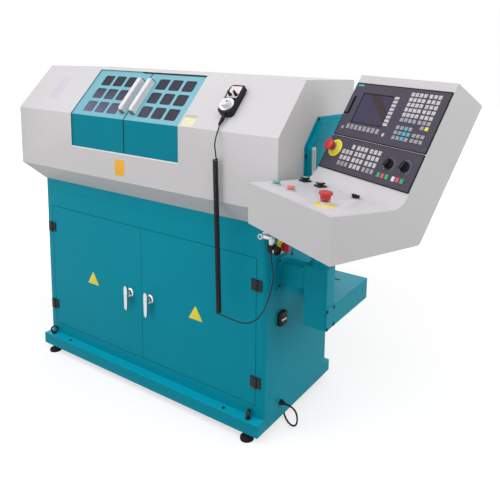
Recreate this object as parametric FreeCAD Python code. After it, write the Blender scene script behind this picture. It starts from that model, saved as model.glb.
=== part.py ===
"""CNC turning lathe: cabinet on rails, hood with sliding doors, console on a swivel arm.

Machine coordinates, millimetres: x = 0 at the cabinet's right end and negative to the left,
y = 0 at its front face and positive to the back, z up from a datum that lies FLOOR_Z below the
floor. Every shape is moved at the end so that the origin is on the floor below the middle of
the machine.
"""
import FreeCAD, Part
import math
import os

from FreeCAD import Vector, Rotation, Placement

X, Y, Z = Vector(1, 0, 0), Vector(0, 1, 0), Vector(0, 0, 1)

# ---- driving dimensions ----
FLOOR_Z = 15.0
CABINET_LENGTH = 1226.0
CABINET_DEPTH = 484.0
CABINET_TOP = 793.0
TRAY_TOP = 840.0
CORNER_R = 14.0
SHEET = 2.5

RAIL_BOTTOM, RAIL_TOP = 44.0, 94.0
RAIL_FRONT, RAIL_BACK = 41.0, 35.0       # how far each rail stands out
RAIL_INSET = 20.0                        # how far each rail reaches under the cabinet
RAIL_WALL = 4.0

DOOR_LEFT, DOOR_SPLIT, DOOR_RIGHT = -1186.5, -618.0, -39.0
DOOR_LOW, DOOR_HIGH = 141.0, 714.0
DOOR_GAP = 1.5
DOOR_DEPTH = 18.0
HINGE_AXIS_Y = -6.0
HINGE_OFFSET = 3.5                       # hinge axis outside the door's edge
HINGE_HEIGHTS = (613.0, 236.0)
LATCH_XS, LATCH_Z = {-1: -682.0, 1: -567.0}, 421.0

HOOD_SIDE, HOOD_FRONT, HOOD_BACK = 80.0, 60.0, 500.0
HOOD_LOW, HOOD_EDGE = 914.0, 1167.0      # lower and upper edge of the upright front
HOOD_RIDGE_Y, HOOD_RIDGE_Z = 117.0, 1349.0
HOOD_BACK_Z = 1331.0
HOOD_SHEET = 2.0
OPEN_LEFT, OPEN_RIGHT, OPEN_LOW = -957.0, -357.0, 1029.0
OPEN_SLOPE = 247.0                       # length of the door opening along the slope
SLIDER_SPLIT = -648.0
SLIDER_RECESS = 4.0
WINDOW_W, WINDOW_H, WINDOW_R = 52.0, 53.0, 8.0
WINDOW_PITCH = 70.0
WINDOW_ROWS = (50.0, 120.5, 191.0)
HANDLE_XS = {-1: -672.0, 1: -614.5}
HANDLE_LOW, HANDLE_HIGH, HANDLE_PROUD = 29.5, 203.0, 22.0

SPINDLE_Y, SPINDLE_Z = 215.0, 1035.0
BED_LEFT, BED_RIGHT = -1180.0, -60.0
BED_BOTTOM, BED_DECK, WAY_TOP = 798.5, 915.0, 935.0
SCREW_Z, SCREW_R = 885.0, 10.0

POST_X, POST_Y = (104.0, 198.0), (88.0, 152.0)
POST_Z = (466.0, 694.0)
PIVOT = Vector(151.0, 120.0, 0)

CONSOLE_X, CONSOLE_Y, CONSOLE_YAW = 43.2, -173.7, -24.7
CONSOLE_W = 424.0
CONSOLE_LOW, DESK_FRONT_Z, KNEE_R = 904.0, 1037.0, 68.0
DESK_TILT, PANEL_TILT = -3.84, 59.8
PANEL_V, PANEL_Z = 274.1, 1062.5
PANEL_W, PANEL_LOW_H, PANEL_HIGH_H, PANEL_GAP = 420.0, 120.0, 200.0, 3.0
PANEL_T = 3.0

CORD_R, MAINS_R = 2.9, 3.5
CURL_OUTER_R = 10.25
CURLS = 22
CURL_TOP = Vector(-165, -80, 1070)
CURL_END = Vector(-147.5, -80, 508)


# ---- plain shapes ----
def block(xs, ys, zs):
    return Part.makeBox(xs[1] - xs[0], ys[1] - ys[0], zs[1] - zs[0], Vector(xs[0], ys[0], zs[0]))


def rod(start, direction, radius, length):
    return Part.makeCylinder(radius, length, start, direction)


def prism(points, direction):
    """A closed outline of vectors pushed along a vector."""
    return Part.Face(Part.makePolygon(list(points) + [points[0]])).extrude(direction)


def fuse(shapes):
    first, *rest = shapes
    return first.fuse(rest).removeSplitter() if rest else first


def group(shapes):
    return Part.makeCompound(shapes)


def upright_edges(shape, tolerance=0.1):
    """Straight edges that run along Z."""
    found = []
    for edge in shape.Edges:
        a, b = edge.Vertexes[0].Point, edge.Vertexes[-1].Point
        if abs(a.x - b.x) < tolerance and abs(a.y - b.y) < tolerance and abs(a.z - b.z) > 1:
            found.append(edge)
    return found


def rounded_plate(xs, ys, zs, radius):
    plate = block(xs, ys, zs)
    return plate.makeFillet(radius, upright_edges(plate))


def inset_outline(points, inset):
    """Corners of a closed outline, given counter-clockwise as pairs, moved in by the inset."""
    moved = []
    for i, (a, b) in enumerate(points):
        before, after = points[i - 1], points[(i + 1) % len(points)]
        normals = []
        for (p, q), (r, t) in ((before, (a, b)), ((a, b), after)):
            length = math.hypot(r - p, t - q)
            normals.append(((q - t) / length, (r - p) / length))
        (n0, m0), (n1, m1) = normals
        scale = inset / (1 + n0 * n1 + m0 * m1)
        moved.append((a + scale * (n0 + n1), b + scale * (m0 + m1)))
    return moved


# ---- local frames: x along the width, y up the face, z out of it ----
def placed(shape, *placements):
    moved = shape.copy()
    for placement in placements:
        moved.Placement = placement.multiply(moved.Placement)
    return moved


CONSOLE_PLACE = Placement(Vector(CONSOLE_X, CONSOLE_Y, 0), Rotation(Z, CONSOLE_YAW))
PANEL_PLACE = Placement(Vector(2, PANEL_V, PANEL_Z), Rotation(X, PANEL_TILT))
DESK_PLACE = Placement(Vector(0, 0, DESK_FRONT_Z), Rotation(X, DESK_TILT))
SLOPE_TILT = math.degrees(math.atan2(HOOD_RIDGE_Z - HOOD_EDGE, HOOD_RIDGE_Y + HOOD_FRONT))
SLOPE_PLACE = Placement(Vector(0, -HOOD_FRONT, HOOD_EDGE), Rotation(X, SLOPE_TILT))


def on_panel(shape):
    return placed(shape, PANEL_PLACE, CONSOLE_PLACE)


def on_desk(shape):
    return placed(shape, DESK_PLACE, CONSOLE_PLACE)


def on_slope(shape):
    return placed(shape, SLOPE_PLACE)


# ---- cabinet ----
def cabinet():
    outer = rounded_plate((-CABINET_LENGTH, 0), (0, CABINET_DEPTH), (RAIL_TOP, CABINET_TOP), CORNER_R)
    inner = rounded_plate((SHEET - CABINET_LENGTH, -SHEET), (SHEET, CABINET_DEPTH - SHEET),
                          (RAIL_TOP + SHEET, CABINET_TOP - SHEET), CORNER_R - SHEET)
    doorway = block((DOOR_LEFT, DOOR_RIGHT), (-1, 30), (DOOR_LOW, DOOR_HIGH))
    lip = 2.0
    frame = block((DOOR_LEFT - lip, DOOR_RIGHT + lip), (SHEET, 24), (DOOR_LOW - lip, DOOR_HIGH + lip))
    skirts = [block(xs, (RAIL_INSET, CABINET_DEPTH - RAIL_INSET), (RAIL_BOTTOM, RAIL_TOP))
              for xs in ((-CABINET_LENGTH, SHEET - CABINET_LENGTH), (-SHEET, 0))]
    post_face = block((DOOR_SPLIT - 22, DOOR_SPLIT + 22), (20, 22.5), (RAIL_TOP + SHEET, CABINET_TOP - SHEET))
    post_web = block((DOOR_SPLIT - 2, DOOR_SPLIT + 2), (22.5, 45), (RAIL_TOP + SHEET, CABINET_TOP - SHEET))
    shell = outer.cut(inner).cut(doorway)
    return fuse([shell, frame.cut(doorway), post_face, post_web] + skirts)


def base_rails():
    """Two channels open to the inside, with closed ends."""
    rails = []
    for y_out, y_in in ((-RAIL_FRONT, RAIL_INSET), (CABINET_DEPTH + RAIL_BACK, CABINET_DEPTH - RAIL_INSET)):
        ys = tuple(sorted((y_out, y_in)))
        inward = RAIL_WALL if y_out < y_in else -RAIL_WALL
        hollow_ys = tuple(sorted((y_out + inward, y_in + inward)))
        full = block((-CABINET_LENGTH, 0), ys, (RAIL_BOTTOM, RAIL_TOP))
        hollow = block((RAIL_WALL - CABINET_LENGTH, -RAIL_WALL), hollow_ys,
                       (RAIL_BOTTOM + RAIL_WALL, RAIL_TOP - RAIL_WALL))
        rails.append(full.cut(hollow))
    return group(rails)


FOOT_XS = (-1170.0, -57.0)
FOOT_YS = (-24.0, CABINET_DEPTH + 11)


def levelling_feet():
    """Turned rubber-shod pads, each with its screw up into the rail."""
    feet = []
    for x in FOOT_XS:
        for y in FOOT_YS:
            pad = rod(Vector(x, y, FLOOR_Z), Z, 26.5, 8)
            cone = Part.makeCone(26.5, 12, 8, Vector(x, y, FLOOR_Z + 8), Z)
            screw = rod(Vector(x, y, FLOOR_Z + 16), Z, 7, RAIL_BOTTOM - FLOOR_Z - 16)
            feet.append(fuse([pad, cone, screw]))
    return group(feet)


EYE_XS = (-1180.0, -55.0)
EYE_YS = (-21.0, CABINET_DEPTH + 19)
EYE_Z, EYE_RING_R, EYE_BAR_R = RAIL_TOP + 21, 13.5, 4.0
EYE_TURNS = dict(zip([(x, y) for x in EYE_XS for y in EYE_YS], (-32, 12, 8, -20)))


def lifting_eyes():
    eyes = []
    for x in EYE_XS:
        for y in EYE_YS:
            ring = Part.makeTorus(EYE_RING_R, EYE_BAR_R, Vector(x, y, EYE_Z), X)
            ring.rotate(Vector(x, y, 0), Z, EYE_TURNS[x, y])
            collar = rod(Vector(x, y, RAIL_TOP), Z, 10, 5)
            eyes.append(fuse([ring, collar]))
    return group(eyes)


HINGE_HALF_H, KNUCKLE_R, PIN_R = 21.0, 5.5, 2.5


def hinge_axis_x(side):
    """side is -1 for the left door and +1 for the right door."""
    edge = DOOR_LEFT + DOOR_GAP if side < 0 else DOOR_RIGHT - DOOR_GAP
    return edge + side * HINGE_OFFSET


def hinge_leaf(side, z, toward_door):
    """A plate on the face and its knuckles round the hinge axis."""
    axis_x = hinge_axis_x(side)
    way = -side if toward_door else side
    near, far = axis_x + way * 7.0, axis_x + way * 23.0
    plate = block(tuple(sorted((near, far))), (-5, 0), (z - HINGE_HALF_H, z + HINGE_HALF_H))
    spans = ((-7.0, 7.0),) if toward_door else ((-21.0, -7.5), (7.5, 21.0))
    shapes = [plate]
    for low, high in spans:
        shapes.append(rod(Vector(axis_x, HINGE_AXIS_Y, z + low), Z, KNUCKLE_R, high - low))
        shapes.append(block(tuple(sorted((axis_x, near + way * 0.5))), (-8, -2.5), (z + low, z + high)))
    leaf = fuse(shapes)
    pin = rod(Vector(axis_x, HINGE_AXIS_Y, z - HINGE_HALF_H), Z, PIN_R, 2 * HINGE_HALF_H)
    if toward_door:
        return leaf.cut(rod(Vector(axis_x, HINGE_AXIS_Y, z - HINGE_HALF_H), Z, PIN_R + 0.05, 2 * HINGE_HALF_H))
    return leaf.fuse(pin).removeSplitter()


def cabinet_hinges():
    return group([hinge_leaf(side, z, False) for side in (-1, 1) for z in HINGE_HEIGHTS])


def cabinet_door(side):
    """A pan of folded sheet with the door half of each hinge."""
    xs = ((DOOR_LEFT + DOOR_GAP, DOOR_SPLIT - DOOR_GAP / 2) if side < 0
          else (DOOR_SPLIT + DOOR_GAP / 2, DOOR_RIGHT - DOOR_GAP))
    zs = (DOOR_LOW + DOOR_GAP, DOOR_HIGH - DOOR_GAP)
    full = block(xs, (0, DOOR_DEPTH), zs)
    hollow = block((xs[0] + 2, xs[1] - 2), (2, DOOR_DEPTH + 1), (zs[0] + 2, zs[1] - 2))
    latch_hole = rod(Vector(LATCH_XS[side], -1, LATCH_Z), Y, 8.05, 6)
    return full.cut(hollow).cut(latch_hole)


def latch_rose(side):
    """Round collar on the door's face, with a stepped front, round the latch's boss."""
    centre = Vector(LATCH_XS[side], 0, LATCH_Z)
    profile = [(10.5, 0), (20, 0), (20, -6), (17, -10), (13.5, -10), (12.5, -4), (10.5, -4)]
    face = Part.Face(Part.makePolygon([Vector(r, y, 0) for r, y in profile + profile[:1]]))
    rose = face.revolve(Vector(0, 0, 0), Y, 360)
    rose.translate(centre)
    return rose


def cabinet_door_assembly(side):
    return group([cabinet_door(side), latch_rose(side)] + [hinge_leaf(side, z, True) for z in HINGE_HEIGHTS])


def latch_lever(side):
    """A swing handle: boss, grip that hangs down, and the tongue behind the door."""
    x = LATCH_XS[side]
    boss = rod(Vector(x, -23, LATCH_Z), Y, 9, 22.6)
    shaft = rod(Vector(x, -2, LATCH_Z), Y, 8, 30)
    grip = [(-9.5, 24), (-7, 32), (-2.5, 36), (2.5, 36), (7, 32), (9.5, 24), (9.5, -6), (7.5, -60),
            (4.5, -67), (1.5, -70), (-1.5, -70), (-4.5, -67), (-7.5, -60), (-9.5, -6)]
    lever = prism([Vector(x + dx, -32, LATCH_Z + dz) for dx, dz in grip], Y * 10)
    crown = rod(Vector(x, -34, LATCH_Z), Y, 7, 4)
    tongue_end = DOOR_SPLIT + side * 27.0
    tongue = block(tuple(sorted((x + side * 10, tongue_end))), (24, 28), (LATCH_Z - 9, LATCH_Z + 9))
    return fuse([boss, shaft, lever, crown, tongue])


def chip_tray():
    """The band above the cabinet: a pan with a flange that the hood stands on."""
    outer = rounded_plate((-CABINET_LENGTH, 0), (0, CABINET_DEPTH), (CABINET_TOP, TRAY_TOP), CORNER_R)
    pan = rounded_plate((SHEET - CABINET_LENGTH, -SHEET), (SHEET, CABINET_DEPTH - SHEET),
                        (BED_BOTTOM, TRAY_TOP - 2), CORNER_R - SHEET)
    mouth = block((18 - CABINET_LENGTH, -18), (18, CABINET_DEPTH - 18), (BED_BOTTOM, TRAY_TOP + 1))
    return outer.cut(pan).cut(mouth)


def electrical_panel():
    """Mounting plate on the back wall with drives, contactors on a rail and a transformer."""
    back = CABINET_DEPTH - SHEET
    plate = block((-1110, -110), (back - 18, back - 15), (150, 720))
    standoffs = [rod(Vector(x, back - 15, z), Y, 8, 15) for x in (-1090, -130) for z in (170, 700)]
    drives = [block((x, x + 80), (back - 158, back - 18), (430, 680)) for x in (-1060, -965, -870)]
    fins = [block((x + 8 + 16 * i, x + 12 + 16 * i), (back - 164, back - 158), (450, 660))
            for x in (-1060, -965, -870) for i in range(5)]
    rail = block((-560, -180), (back - 26, back - 18), (595, 630))
    contactors = [block((-545 + 52 * i, -500 + 52 * i), (back - 96, back - 26), (570, 655)) for i in range(7)]
    transformer = block((-1050, -900), (back - 128, back - 18), (190, 330))
    ducts = [block((-760, -730), (back - 68, back - 18), (180, 690)),
             block((-560, -180), (back - 68, back - 18), (480, 520))]
    return fuse([plate] + standoffs + drives + fins + [rail] + contactors + [transformer] + ducts)


# ---- working area ----
def bed():
    """Cast bed: two beams with prismatic ways, cross ribs and bores for the ball screw."""
    shapes = []
    for y0 in (SPINDLE_Y - 135, SPINDLE_Y + 65):
        shapes.append(block((BED_LEFT, BED_RIGHT), (y0, y0 + 70), (BED_BOTTOM, BED_DECK)))
        way = [Vector(-975, y0 + 18, BED_DECK), Vector(-975, y0 + 52, BED_DECK),
               Vector(-975, y0 + 45, WAY_TOP), Vector(-975, y0 + 25, WAY_TOP)]
        shapes.append(prism(way, Vector(BED_RIGHT + 975, 0, 0)))
    ribs = [BED_LEFT + i * 0.2 * (BED_RIGHT - 24 - BED_LEFT) for i in range(6)]
    for i, x in enumerate(ribs):
        top = SCREW_Z + 25 if i in (1, 5) else SCREW_Z - 35
        shapes.append(block((x, x + 24), (SPINDLE_Y - 66, SPINDLE_Y + 66), (BED_BOTTOM, top)))
    bearings = [rod(Vector(x - 1, SPINDLE_Y, SCREW_Z), X, SCREW_R + 0.05, 26) for x in (ribs[1], ribs[5])]
    return fuse(shapes).cut(Part.makeCompound(bearings))


def headstock():
    """Cast housing with a domed top and the spindle bore."""
    base = block((-1200, -990), (95, 335), (BED_DECK, 1015))
    tower = prism([Vector(-1200, 110, 1010), Vector(-1200, 320, 1010), Vector(-1200, 320, 1080),
                   Vector(-1200, 280, 1135), Vector(-1200, 150, 1135), Vector(-1200, 110, 1080)],
                  Vector(210, 0, 0))
    ring = rod(Vector(-990, SPINDLE_Y, SPINDLE_Z), X, 62, 8)
    return fuse([base, tower, ring]).cut(rod(Vector(-1210, SPINDLE_Y, SPINDLE_Z), X, 40.05, 240))


def spindle():
    """Spindle with its belt wheel at the back and the chuck flange at the front."""
    bar = rod(Vector(-1250, SPINDLE_Y, SPINDLE_Z), X, 40, 274)
    wheel = rod(Vector(-1246, SPINDLE_Y, SPINDLE_Z), X, 74, 40)
    nose = rod(Vector(-980, SPINDLE_Y, SPINDLE_Z), X, 55, 14)
    return fuse([bar, wheel, nose])


def chuck():
    """Three-jaw chuck: body with radial slots and stepped jaws."""
    centre = Vector(-966, SPINDLE_Y, SPINDLE_Z)
    body = rod(centre, X, 66, 58)
    jaws = []
    for i in range(3):
        foot = block((-908, -896), (SPINDLE_Y - 11, SPINDLE_Y + 11), (SPINDLE_Z + 22, SPINDLE_Z + 64))
        step = block((-896, -884), (SPINDLE_Y - 11, SPINDLE_Y + 11), (SPINDLE_Z + 22, SPINDLE_Z + 44))
        jaw = fuse([foot, step])
        jaw.rotate(Vector(0, SPINDLE_Y, SPINDLE_Z), X, 120 * i + 30)
        jaws.append(jaw)
    return fuse([body] + jaws)


SADDLE_X = (-560.0, -400.0)


def saddle():
    """Plate over the ways with gib strips down their sides and the ball nut below."""
    plate = block(SADDLE_X, (75, 355), (WAY_TOP + 0.4, 966))
    front_gib = block(SADDLE_X, (75, 92), (BED_DECK + 0.6, WAY_TOP + 0.4))
    back_gib = block(SADDLE_X, (338, 355), (BED_DECK + 0.6, WAY_TOP + 0.4))
    nut = block((-520, -440), (SPINDLE_Y - 24, SPINDLE_Y + 24), (SCREW_Z - 22, WAY_TOP + 0.4))
    body = fuse([plate, front_gib, back_gib, nut])
    return body.cut(rod(Vector(-530, SPINDLE_Y, SCREW_Z), X, SCREW_R + 0.5, 100))


def ball_screw():
    bar = rod(Vector(-985, SPINDLE_Y, SCREW_Z), X, SCREW_R, 930)
    coupling = rod(Vector(-59, SPINDLE_Y, SCREW_Z), X, 18, 30)
    return fuse([bar, coupling])


TURRET_Y, TURRET_Z = 335.0, 1052.0


def cross_slide():
    """Slide on the saddle with the turret housing at its back."""
    slide = block((-548, -412), (150, 400), (966.4, 990))
    housing = prism([Vector(-566, 285, 990), Vector(-566, 385, 990), Vector(-566, 385, 1095),
                     Vector(-566, 360, 1120), Vector(-566, 310, 1120), Vector(-566, 285, 1095)],
                    Vector(130, 0, 0))
    bore = rod(Vector(-570, TURRET_Y, TURRET_Z), X, 20.05, 60)
    return fuse([slide, housing]).cut(bore)


def turret_disc():
    """Eight-sided disc on its shaft, with a tool block and a tool on every second flat."""
    corners = [Vector(-612, TURRET_Y + 84 * math.cos(math.radians(45 * i + 22.5)),
                      TURRET_Z + 84 * math.sin(math.radians(45 * i + 22.5))) for i in range(8)]
    shapes = [prism(corners, Vector(42, 0, 0)), rod(Vector(-571, TURRET_Y, TURRET_Z), X, 20, 50)]
    for i in range(8):
        tool_holder = block((-622, -584), (TURRET_Y + 60, TURRET_Y + 92), (TURRET_Z - 14, TURRET_Z + 14))
        tool = block((-622, -610), (TURRET_Y + 92, TURRET_Y + 108), (TURRET_Z - 6, TURRET_Z + 6))
        station = fuse([tool_holder, tool]) if i % 2 == 0 else tool_holder
        station.rotate(Vector(0, TURRET_Y, TURRET_Z), X, 45 * i)
        shapes.append(station)
    return fuse(shapes)


def tailstock():
    base = block((-330, -200), (85, 345), (WAY_TOP + 0.4, 970))
    body = prism([Vector(-325, 165, 970), Vector(-325, 265, 970), Vector(-325, 265, 1050),
                  Vector(-325, 240, 1075), Vector(-325, 190, 1075), Vector(-325, 165, 1050)],
                 Vector(120, 0, 0))
    bore = rod(Vector(-340, SPINDLE_Y, SPINDLE_Z), X, 20.05, 125)
    return fuse([base, body]).cut(bore)


def tailstock_quill():
    quill = rod(Vector(-340, SPINDLE_Y, SPINDLE_Z), X, 20, 110)
    centre = Part.makeCone(0.8, 9, 30, Vector(-370, SPINDLE_Y, SPINDLE_Z), X)
    return fuse([quill, centre])


# ---- hood ----
def hood_section(inset):
    """Hood outline above the tapered foot, in the YZ plane, moved in by the inset."""
    outline = [(-HOOD_FRONT, HOOD_LOW), (HOOD_BACK, HOOD_LOW), (HOOD_BACK, HOOD_BACK_Z),
               (HOOD_RIDGE_Y, HOOD_RIDGE_Z), (-HOOD_FRONT, HOOD_EDGE)]
    return [(y, max(z, HOOD_LOW) if z > HOOD_LOW + 2 * inset else HOOD_LOW)
            for y, z in inset_outline(outline, inset)]


def hood_solid(inset):
    """Upper body with the tapered foot that draws in to the cabinet's outline."""
    x0, x1 = -CABINET_LENGTH - HOOD_SIDE + inset, HOOD_SIDE - inset
    upper = prism([Vector(x0, y, z) for y, z in hood_section(inset)], Vector(x1 - x0, 0, 0))
    y0, y1 = -HOOD_FRONT + inset, HOOD_BACK - inset
    top = Part.makePolygon([Vector(x0, y0, HOOD_LOW), Vector(x1, y0, HOOD_LOW), Vector(x1, y1, HOOD_LOW),
                            Vector(x0, y1, HOOD_LOW), Vector(x0, y0, HOOD_LOW)])
    a0, a1 = -CABINET_LENGTH + inset, -inset
    b0, b1 = inset, CABINET_DEPTH - inset
    foot = Part.makePolygon([Vector(a0, b0, TRAY_TOP), Vector(a1, b0, TRAY_TOP), Vector(a1, b1, TRAY_TOP),
                             Vector(a0, b1, TRAY_TOP), Vector(a0, b0, TRAY_TOP)])
    return upper.fuse(Part.makeLoft([foot, top], True, True)).removeSplitter()


def bent_strip(xs, depth, thickness, low_z, slope_end):
    """A sheet that stands upright and then leans back along the slope, behind the hood's skin."""
    slope = math.radians(SLOPE_TILT)
    shift = math.tan((math.pi / 2 - slope) / 2)

    def line(d):
        corner = (-HOOD_FRONT + d, HOOD_EDGE - d * shift)
        return corner, (corner[0] + slope_end * math.cos(slope), corner[1] + slope_end * math.sin(slope))

    (c1, e1), (c2, e2) = line(depth), line(depth + thickness)
    outline = [(c1[0], low_z), c1, e1, e2, c2, (c2[0], low_z)]
    return prism([Vector(xs[0], y, z) for y, z in outline], Vector(xs[1] - xs[0], 0, 0))


def hood_shell():
    shell = hood_solid(0).cut(hood_solid(HOOD_SHEET))
    opening = bent_strip((OPEN_LEFT, OPEN_RIGHT), -3, 8, OPEN_LOW, OPEN_SLOPE)
    low_track = block((-1300, 70), (-HOOD_FRONT + HOOD_SHEET, -HOOD_FRONT + 18), (OPEN_LOW - 14, OPEN_LOW - 12))
    low_lip = block((-1300, 70), (-HOOD_FRONT + 16, -HOOD_FRONT + 18), (OPEN_LOW - 14, OPEN_LOW - 4))
    ledge = block((OPEN_LEFT, OPEN_RIGHT), (-HOOD_FRONT + 1, -HOOD_FRONT + 3.4), (OPEN_LOW - 4, OPEN_LOW))
    high_lip = block((-1300, 70), (127, 129), (1318, 1347.2))
    return fuse([shell.cut(opening), low_track, low_lip, high_lip, ledge])


def slider(side):
    """Bent door sheet with nine windows, running behind the hood's skin."""
    xs = (OPEN_LEFT - 12, SLIDER_SPLIT - 1) if side < 0 else (SLIDER_SPLIT + 1, OPEN_RIGHT + 12)
    sheet = bent_strip(xs, SLIDER_RECESS + 1, 2, OPEN_LOW - 10, OPEN_SLOPE + 4)
    stiff = block((xs[0], xs[1]), (-HOOD_FRONT + SLIDER_RECESS + 3, -HOOD_FRONT + 14), (OPEN_LOW - 10, OPEN_LOW - 8))
    windows = []
    for x in slider_columns(side):
        for row in WINDOW_ROWS:
            hole = rounded_plate((x - WINDOW_W / 2, x + WINDOW_W / 2),
                                 (row - WINDOW_H / 2, row + WINDOW_H / 2), (-20, 10), WINDOW_R)
            windows.append(on_slope(hole))
    return fuse([sheet, stiff]).cut(Part.makeCompound(windows))


def slider_columns(side):
    first = -874.0 if side < 0 else -557.0
    return [first + WINDOW_PITCH * i for i in range(3)]


def slider_panes(side):
    """One dark sheet behind the nine windows."""
    columns = slider_columns(side)
    pane = block((columns[0] - 33, columns[-1] + 33), (18, 224),
                 (-SLIDER_RECESS - 5.2, -SLIDER_RECESS - 3.0))
    return on_slope(pane)


def slider_handle(side):
    """Box-section pull along the slope, with a moulded cap let in a little at each end."""
    x, foot = HANDLE_XS[side], -SLIDER_RECESS - 1.0
    cap = 5.5
    low, high = HANDLE_LOW + cap, HANDLE_HIGH - cap
    bar = [(low, foot), (high, foot), (high, HANDLE_PROUD), (low + 9, HANDLE_PROUD),
           (low, HANDLE_PROUD - 6)]
    ends = [(HANDLE_LOW, foot), (HANDLE_HIGH, foot), (HANDLE_HIGH, HANDLE_PROUD - 9),
            (high, HANDLE_PROUD - 1), (low + 9, HANDLE_PROUD - 1), (low, HANDLE_PROUD - 7),
            (HANDLE_LOW, HANDLE_PROUD - 15)]
    shapes = []
    for outline, half in ((bar, 9.7), (ends, 9.0)):
        shapes.append(prism([Vector(x - half, s, n) for s, n in outline], X * (2 * half)))
    return on_slope(fuse(shapes))


def hood_end_cover():
    """Pan-shaped cover on the hood's right end, with a level gauge on it."""
    outline = [(110, 930), (110, 1114), (202, 1212), (440, 1202), (440, 930)]
    raised = [(128, 948), (128, 1107), (210, 1194), (422, 1186), (422, 948)]
    flange = prism([Vector(HOOD_SIDE, y, z) for y, z in outline], Vector(3, 0, 0))
    body = prism([Vector(HOOD_SIDE + 3, y, z) for y, z in raised], Vector(16, 0, 0))
    gauge = block((HOOD_SIDE + 19, HOOD_SIDE + 23), (172, 182), (1006, 1102))
    return fuse([flange, body, gauge])


# ---- arm and box on the right end ----
def support_arm():
    flange = rounded_plate((-61, 61), (-58, 58), (0, 8), 5)
    flange.Placement = Placement(Vector(0, 130, 639), Rotation(Y, 90))
    beam = block((8, POST_X[0]), (94, POST_Y[1]), (600, 678))
    post = block(POST_X, POST_Y, POST_Z)
    post = post.makeFillet(4, upright_edges(post))
    bearing = rod(PIVOT + Z * POST_Z[1], Z, 31, 12)
    body = fuse([flange, beam, post, bearing])
    return body.cut(rod(PIVOT + Z * (POST_Z[1] - 60), Z, 22.05, 80))


def side_box():
    """Closed cable box behind the post with the side plate that is screwed to the post."""
    outline = [Vector(110, 152.5, 466), Vector(POST_X[1], 152.5, 466), Vector(POST_X[1], 434, 466),
               Vector(3, 434, 466), Vector(3, 300, 466), Vector(110, 300, 466)]
    inner = [Vector(112, 154.5, 468), Vector(POST_X[1] - 2, 154.5, 468), Vector(POST_X[1] - 2, 432, 468),
             Vector(5, 432, 468), Vector(5, 302, 468), Vector(112, 302, 468)]
    shell = prism(outline, Z * 83).cut(prism(inner, Z * 79))
    plate = block((POST_X[1], POST_X[1] + 2.5), (POST_Y[0], 434), (466, 549))
    return fuse([shell, plate])


def console_pivot():
    """Hollow swivel tube and the boom that carries the console."""
    stub = rod(PIVOT + Z * (POST_Z[1] - 58), Z, 22, 60)
    collar = rod(PIVOT + Z * (POST_Z[1] + 12.5), Z, 30, 20)
    tube = rod(PIVOT + Z * (POST_Z[1] + 1), Z, 22, 150)
    outline = [(-50, 280), (-15, 280), (-15, 90), (110, 90), (110, 342), (-50, 342)]
    boom = prism([Vector(u, v, 852) for u, v in outline], Z * 44)
    inner = prism([Vector(u, v, 856) for u, v in inset_outline(outline, 4)], Z * 36)
    pad = placed(block((20, 190), (60, 300), (896.0, CONSOLE_LOW)), CONSOLE_PLACE)
    head = rod(PIVOT + Z * 838, Z, 28, 20)
    return fuse([stub, collar, tube, head, placed(boom.cut(inner), CONSOLE_PLACE), pad])


# ---- console ----
def desk_height(v):
    return DESK_FRONT_Z + v * math.tan(math.radians(DESK_TILT))


def console_corners():
    """Side profile as (v, z) pairs: front bottom edge, under side, back, top, knee, front edge."""
    slope, desk = math.tan(math.radians(PANEL_TILT)), math.tan(math.radians(DESK_TILT))
    knee_v = (DESK_FRONT_Z - PANEL_Z + slope * PANEL_V) / (slope - desk)
    top = 353.5 / math.hypot(1, slope)
    return [(0, CONSOLE_LOW), (326, CONSOLE_LOW), (562, 1297), (PANEL_V + top, PANEL_Z + slope * top),
            (knee_v, desk_height(knee_v)), (0, DESK_FRONT_Z)]


def console_shell():
    """Folded sheet housing with cut-outs behind the operator panels and the desk controls."""
    def body(inset):
        corners = inset_outline(console_corners(), inset)
        solid = prism([Vector(inset, v, z) for v, z in corners], X * (CONSOLE_W - 2 * inset))
        for index, radius in ((4, KNEE_R + inset), (2, 6 - inset), (1, 18 - inset)):
            v, z = corners[index]
            near = [edge for edge in solid.Edges
                    if all(math.hypot(p.Point.y - v, p.Point.z - z) < 1 for p in edge.Vertexes)]
            solid = solid.makeFillet(radius, near)
        return solid

    shell = body(0).cut(body(2.0))
    cutouts = []
    for s0, s1 in ((14, PANEL_LOW_H - 12), (PANEL_LOW_H + PANEL_GAP + 12, 311)):
        cutouts.append(placed(block((14, PANEL_W - 14), (s0, s1), (-12, 6)), PANEL_PLACE))
    for u, v, radius in DESK_HOLES:
        cutouts.append(placed(rod(Vector(u, v, -12), Z, radius + 2, 20), DESK_PLACE))
    cable_hole = rod(Vector(100, 160, CONSOLE_LOW - 5), Z, 20, 12)
    return placed(shell.cut(Part.makeCompound(cutouts + [cable_hole])), CONSOLE_PLACE)


ESTOP_DESK = (317.0, 61.5)
KEY_SWITCH = (284.0, 200.0)
GREEN_BUTTON, RED_BUTTON = (61.0, 65.5), (142.7, 65.5)
BLACK_LEFT, BLACK_RIGHT = (37.5, 193.5), (118.5, 195.0)
STEM_R = 8.0
DESK_HOLES = [(u, v, STEM_R + 0.05) for u, v in (ESTOP_DESK, KEY_SWITCH, GREEN_BUTTON, RED_BUTTON,
                                                BLACK_LEFT, BLACK_RIGHT)]
DESK_PLATE_T = 1.5


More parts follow.
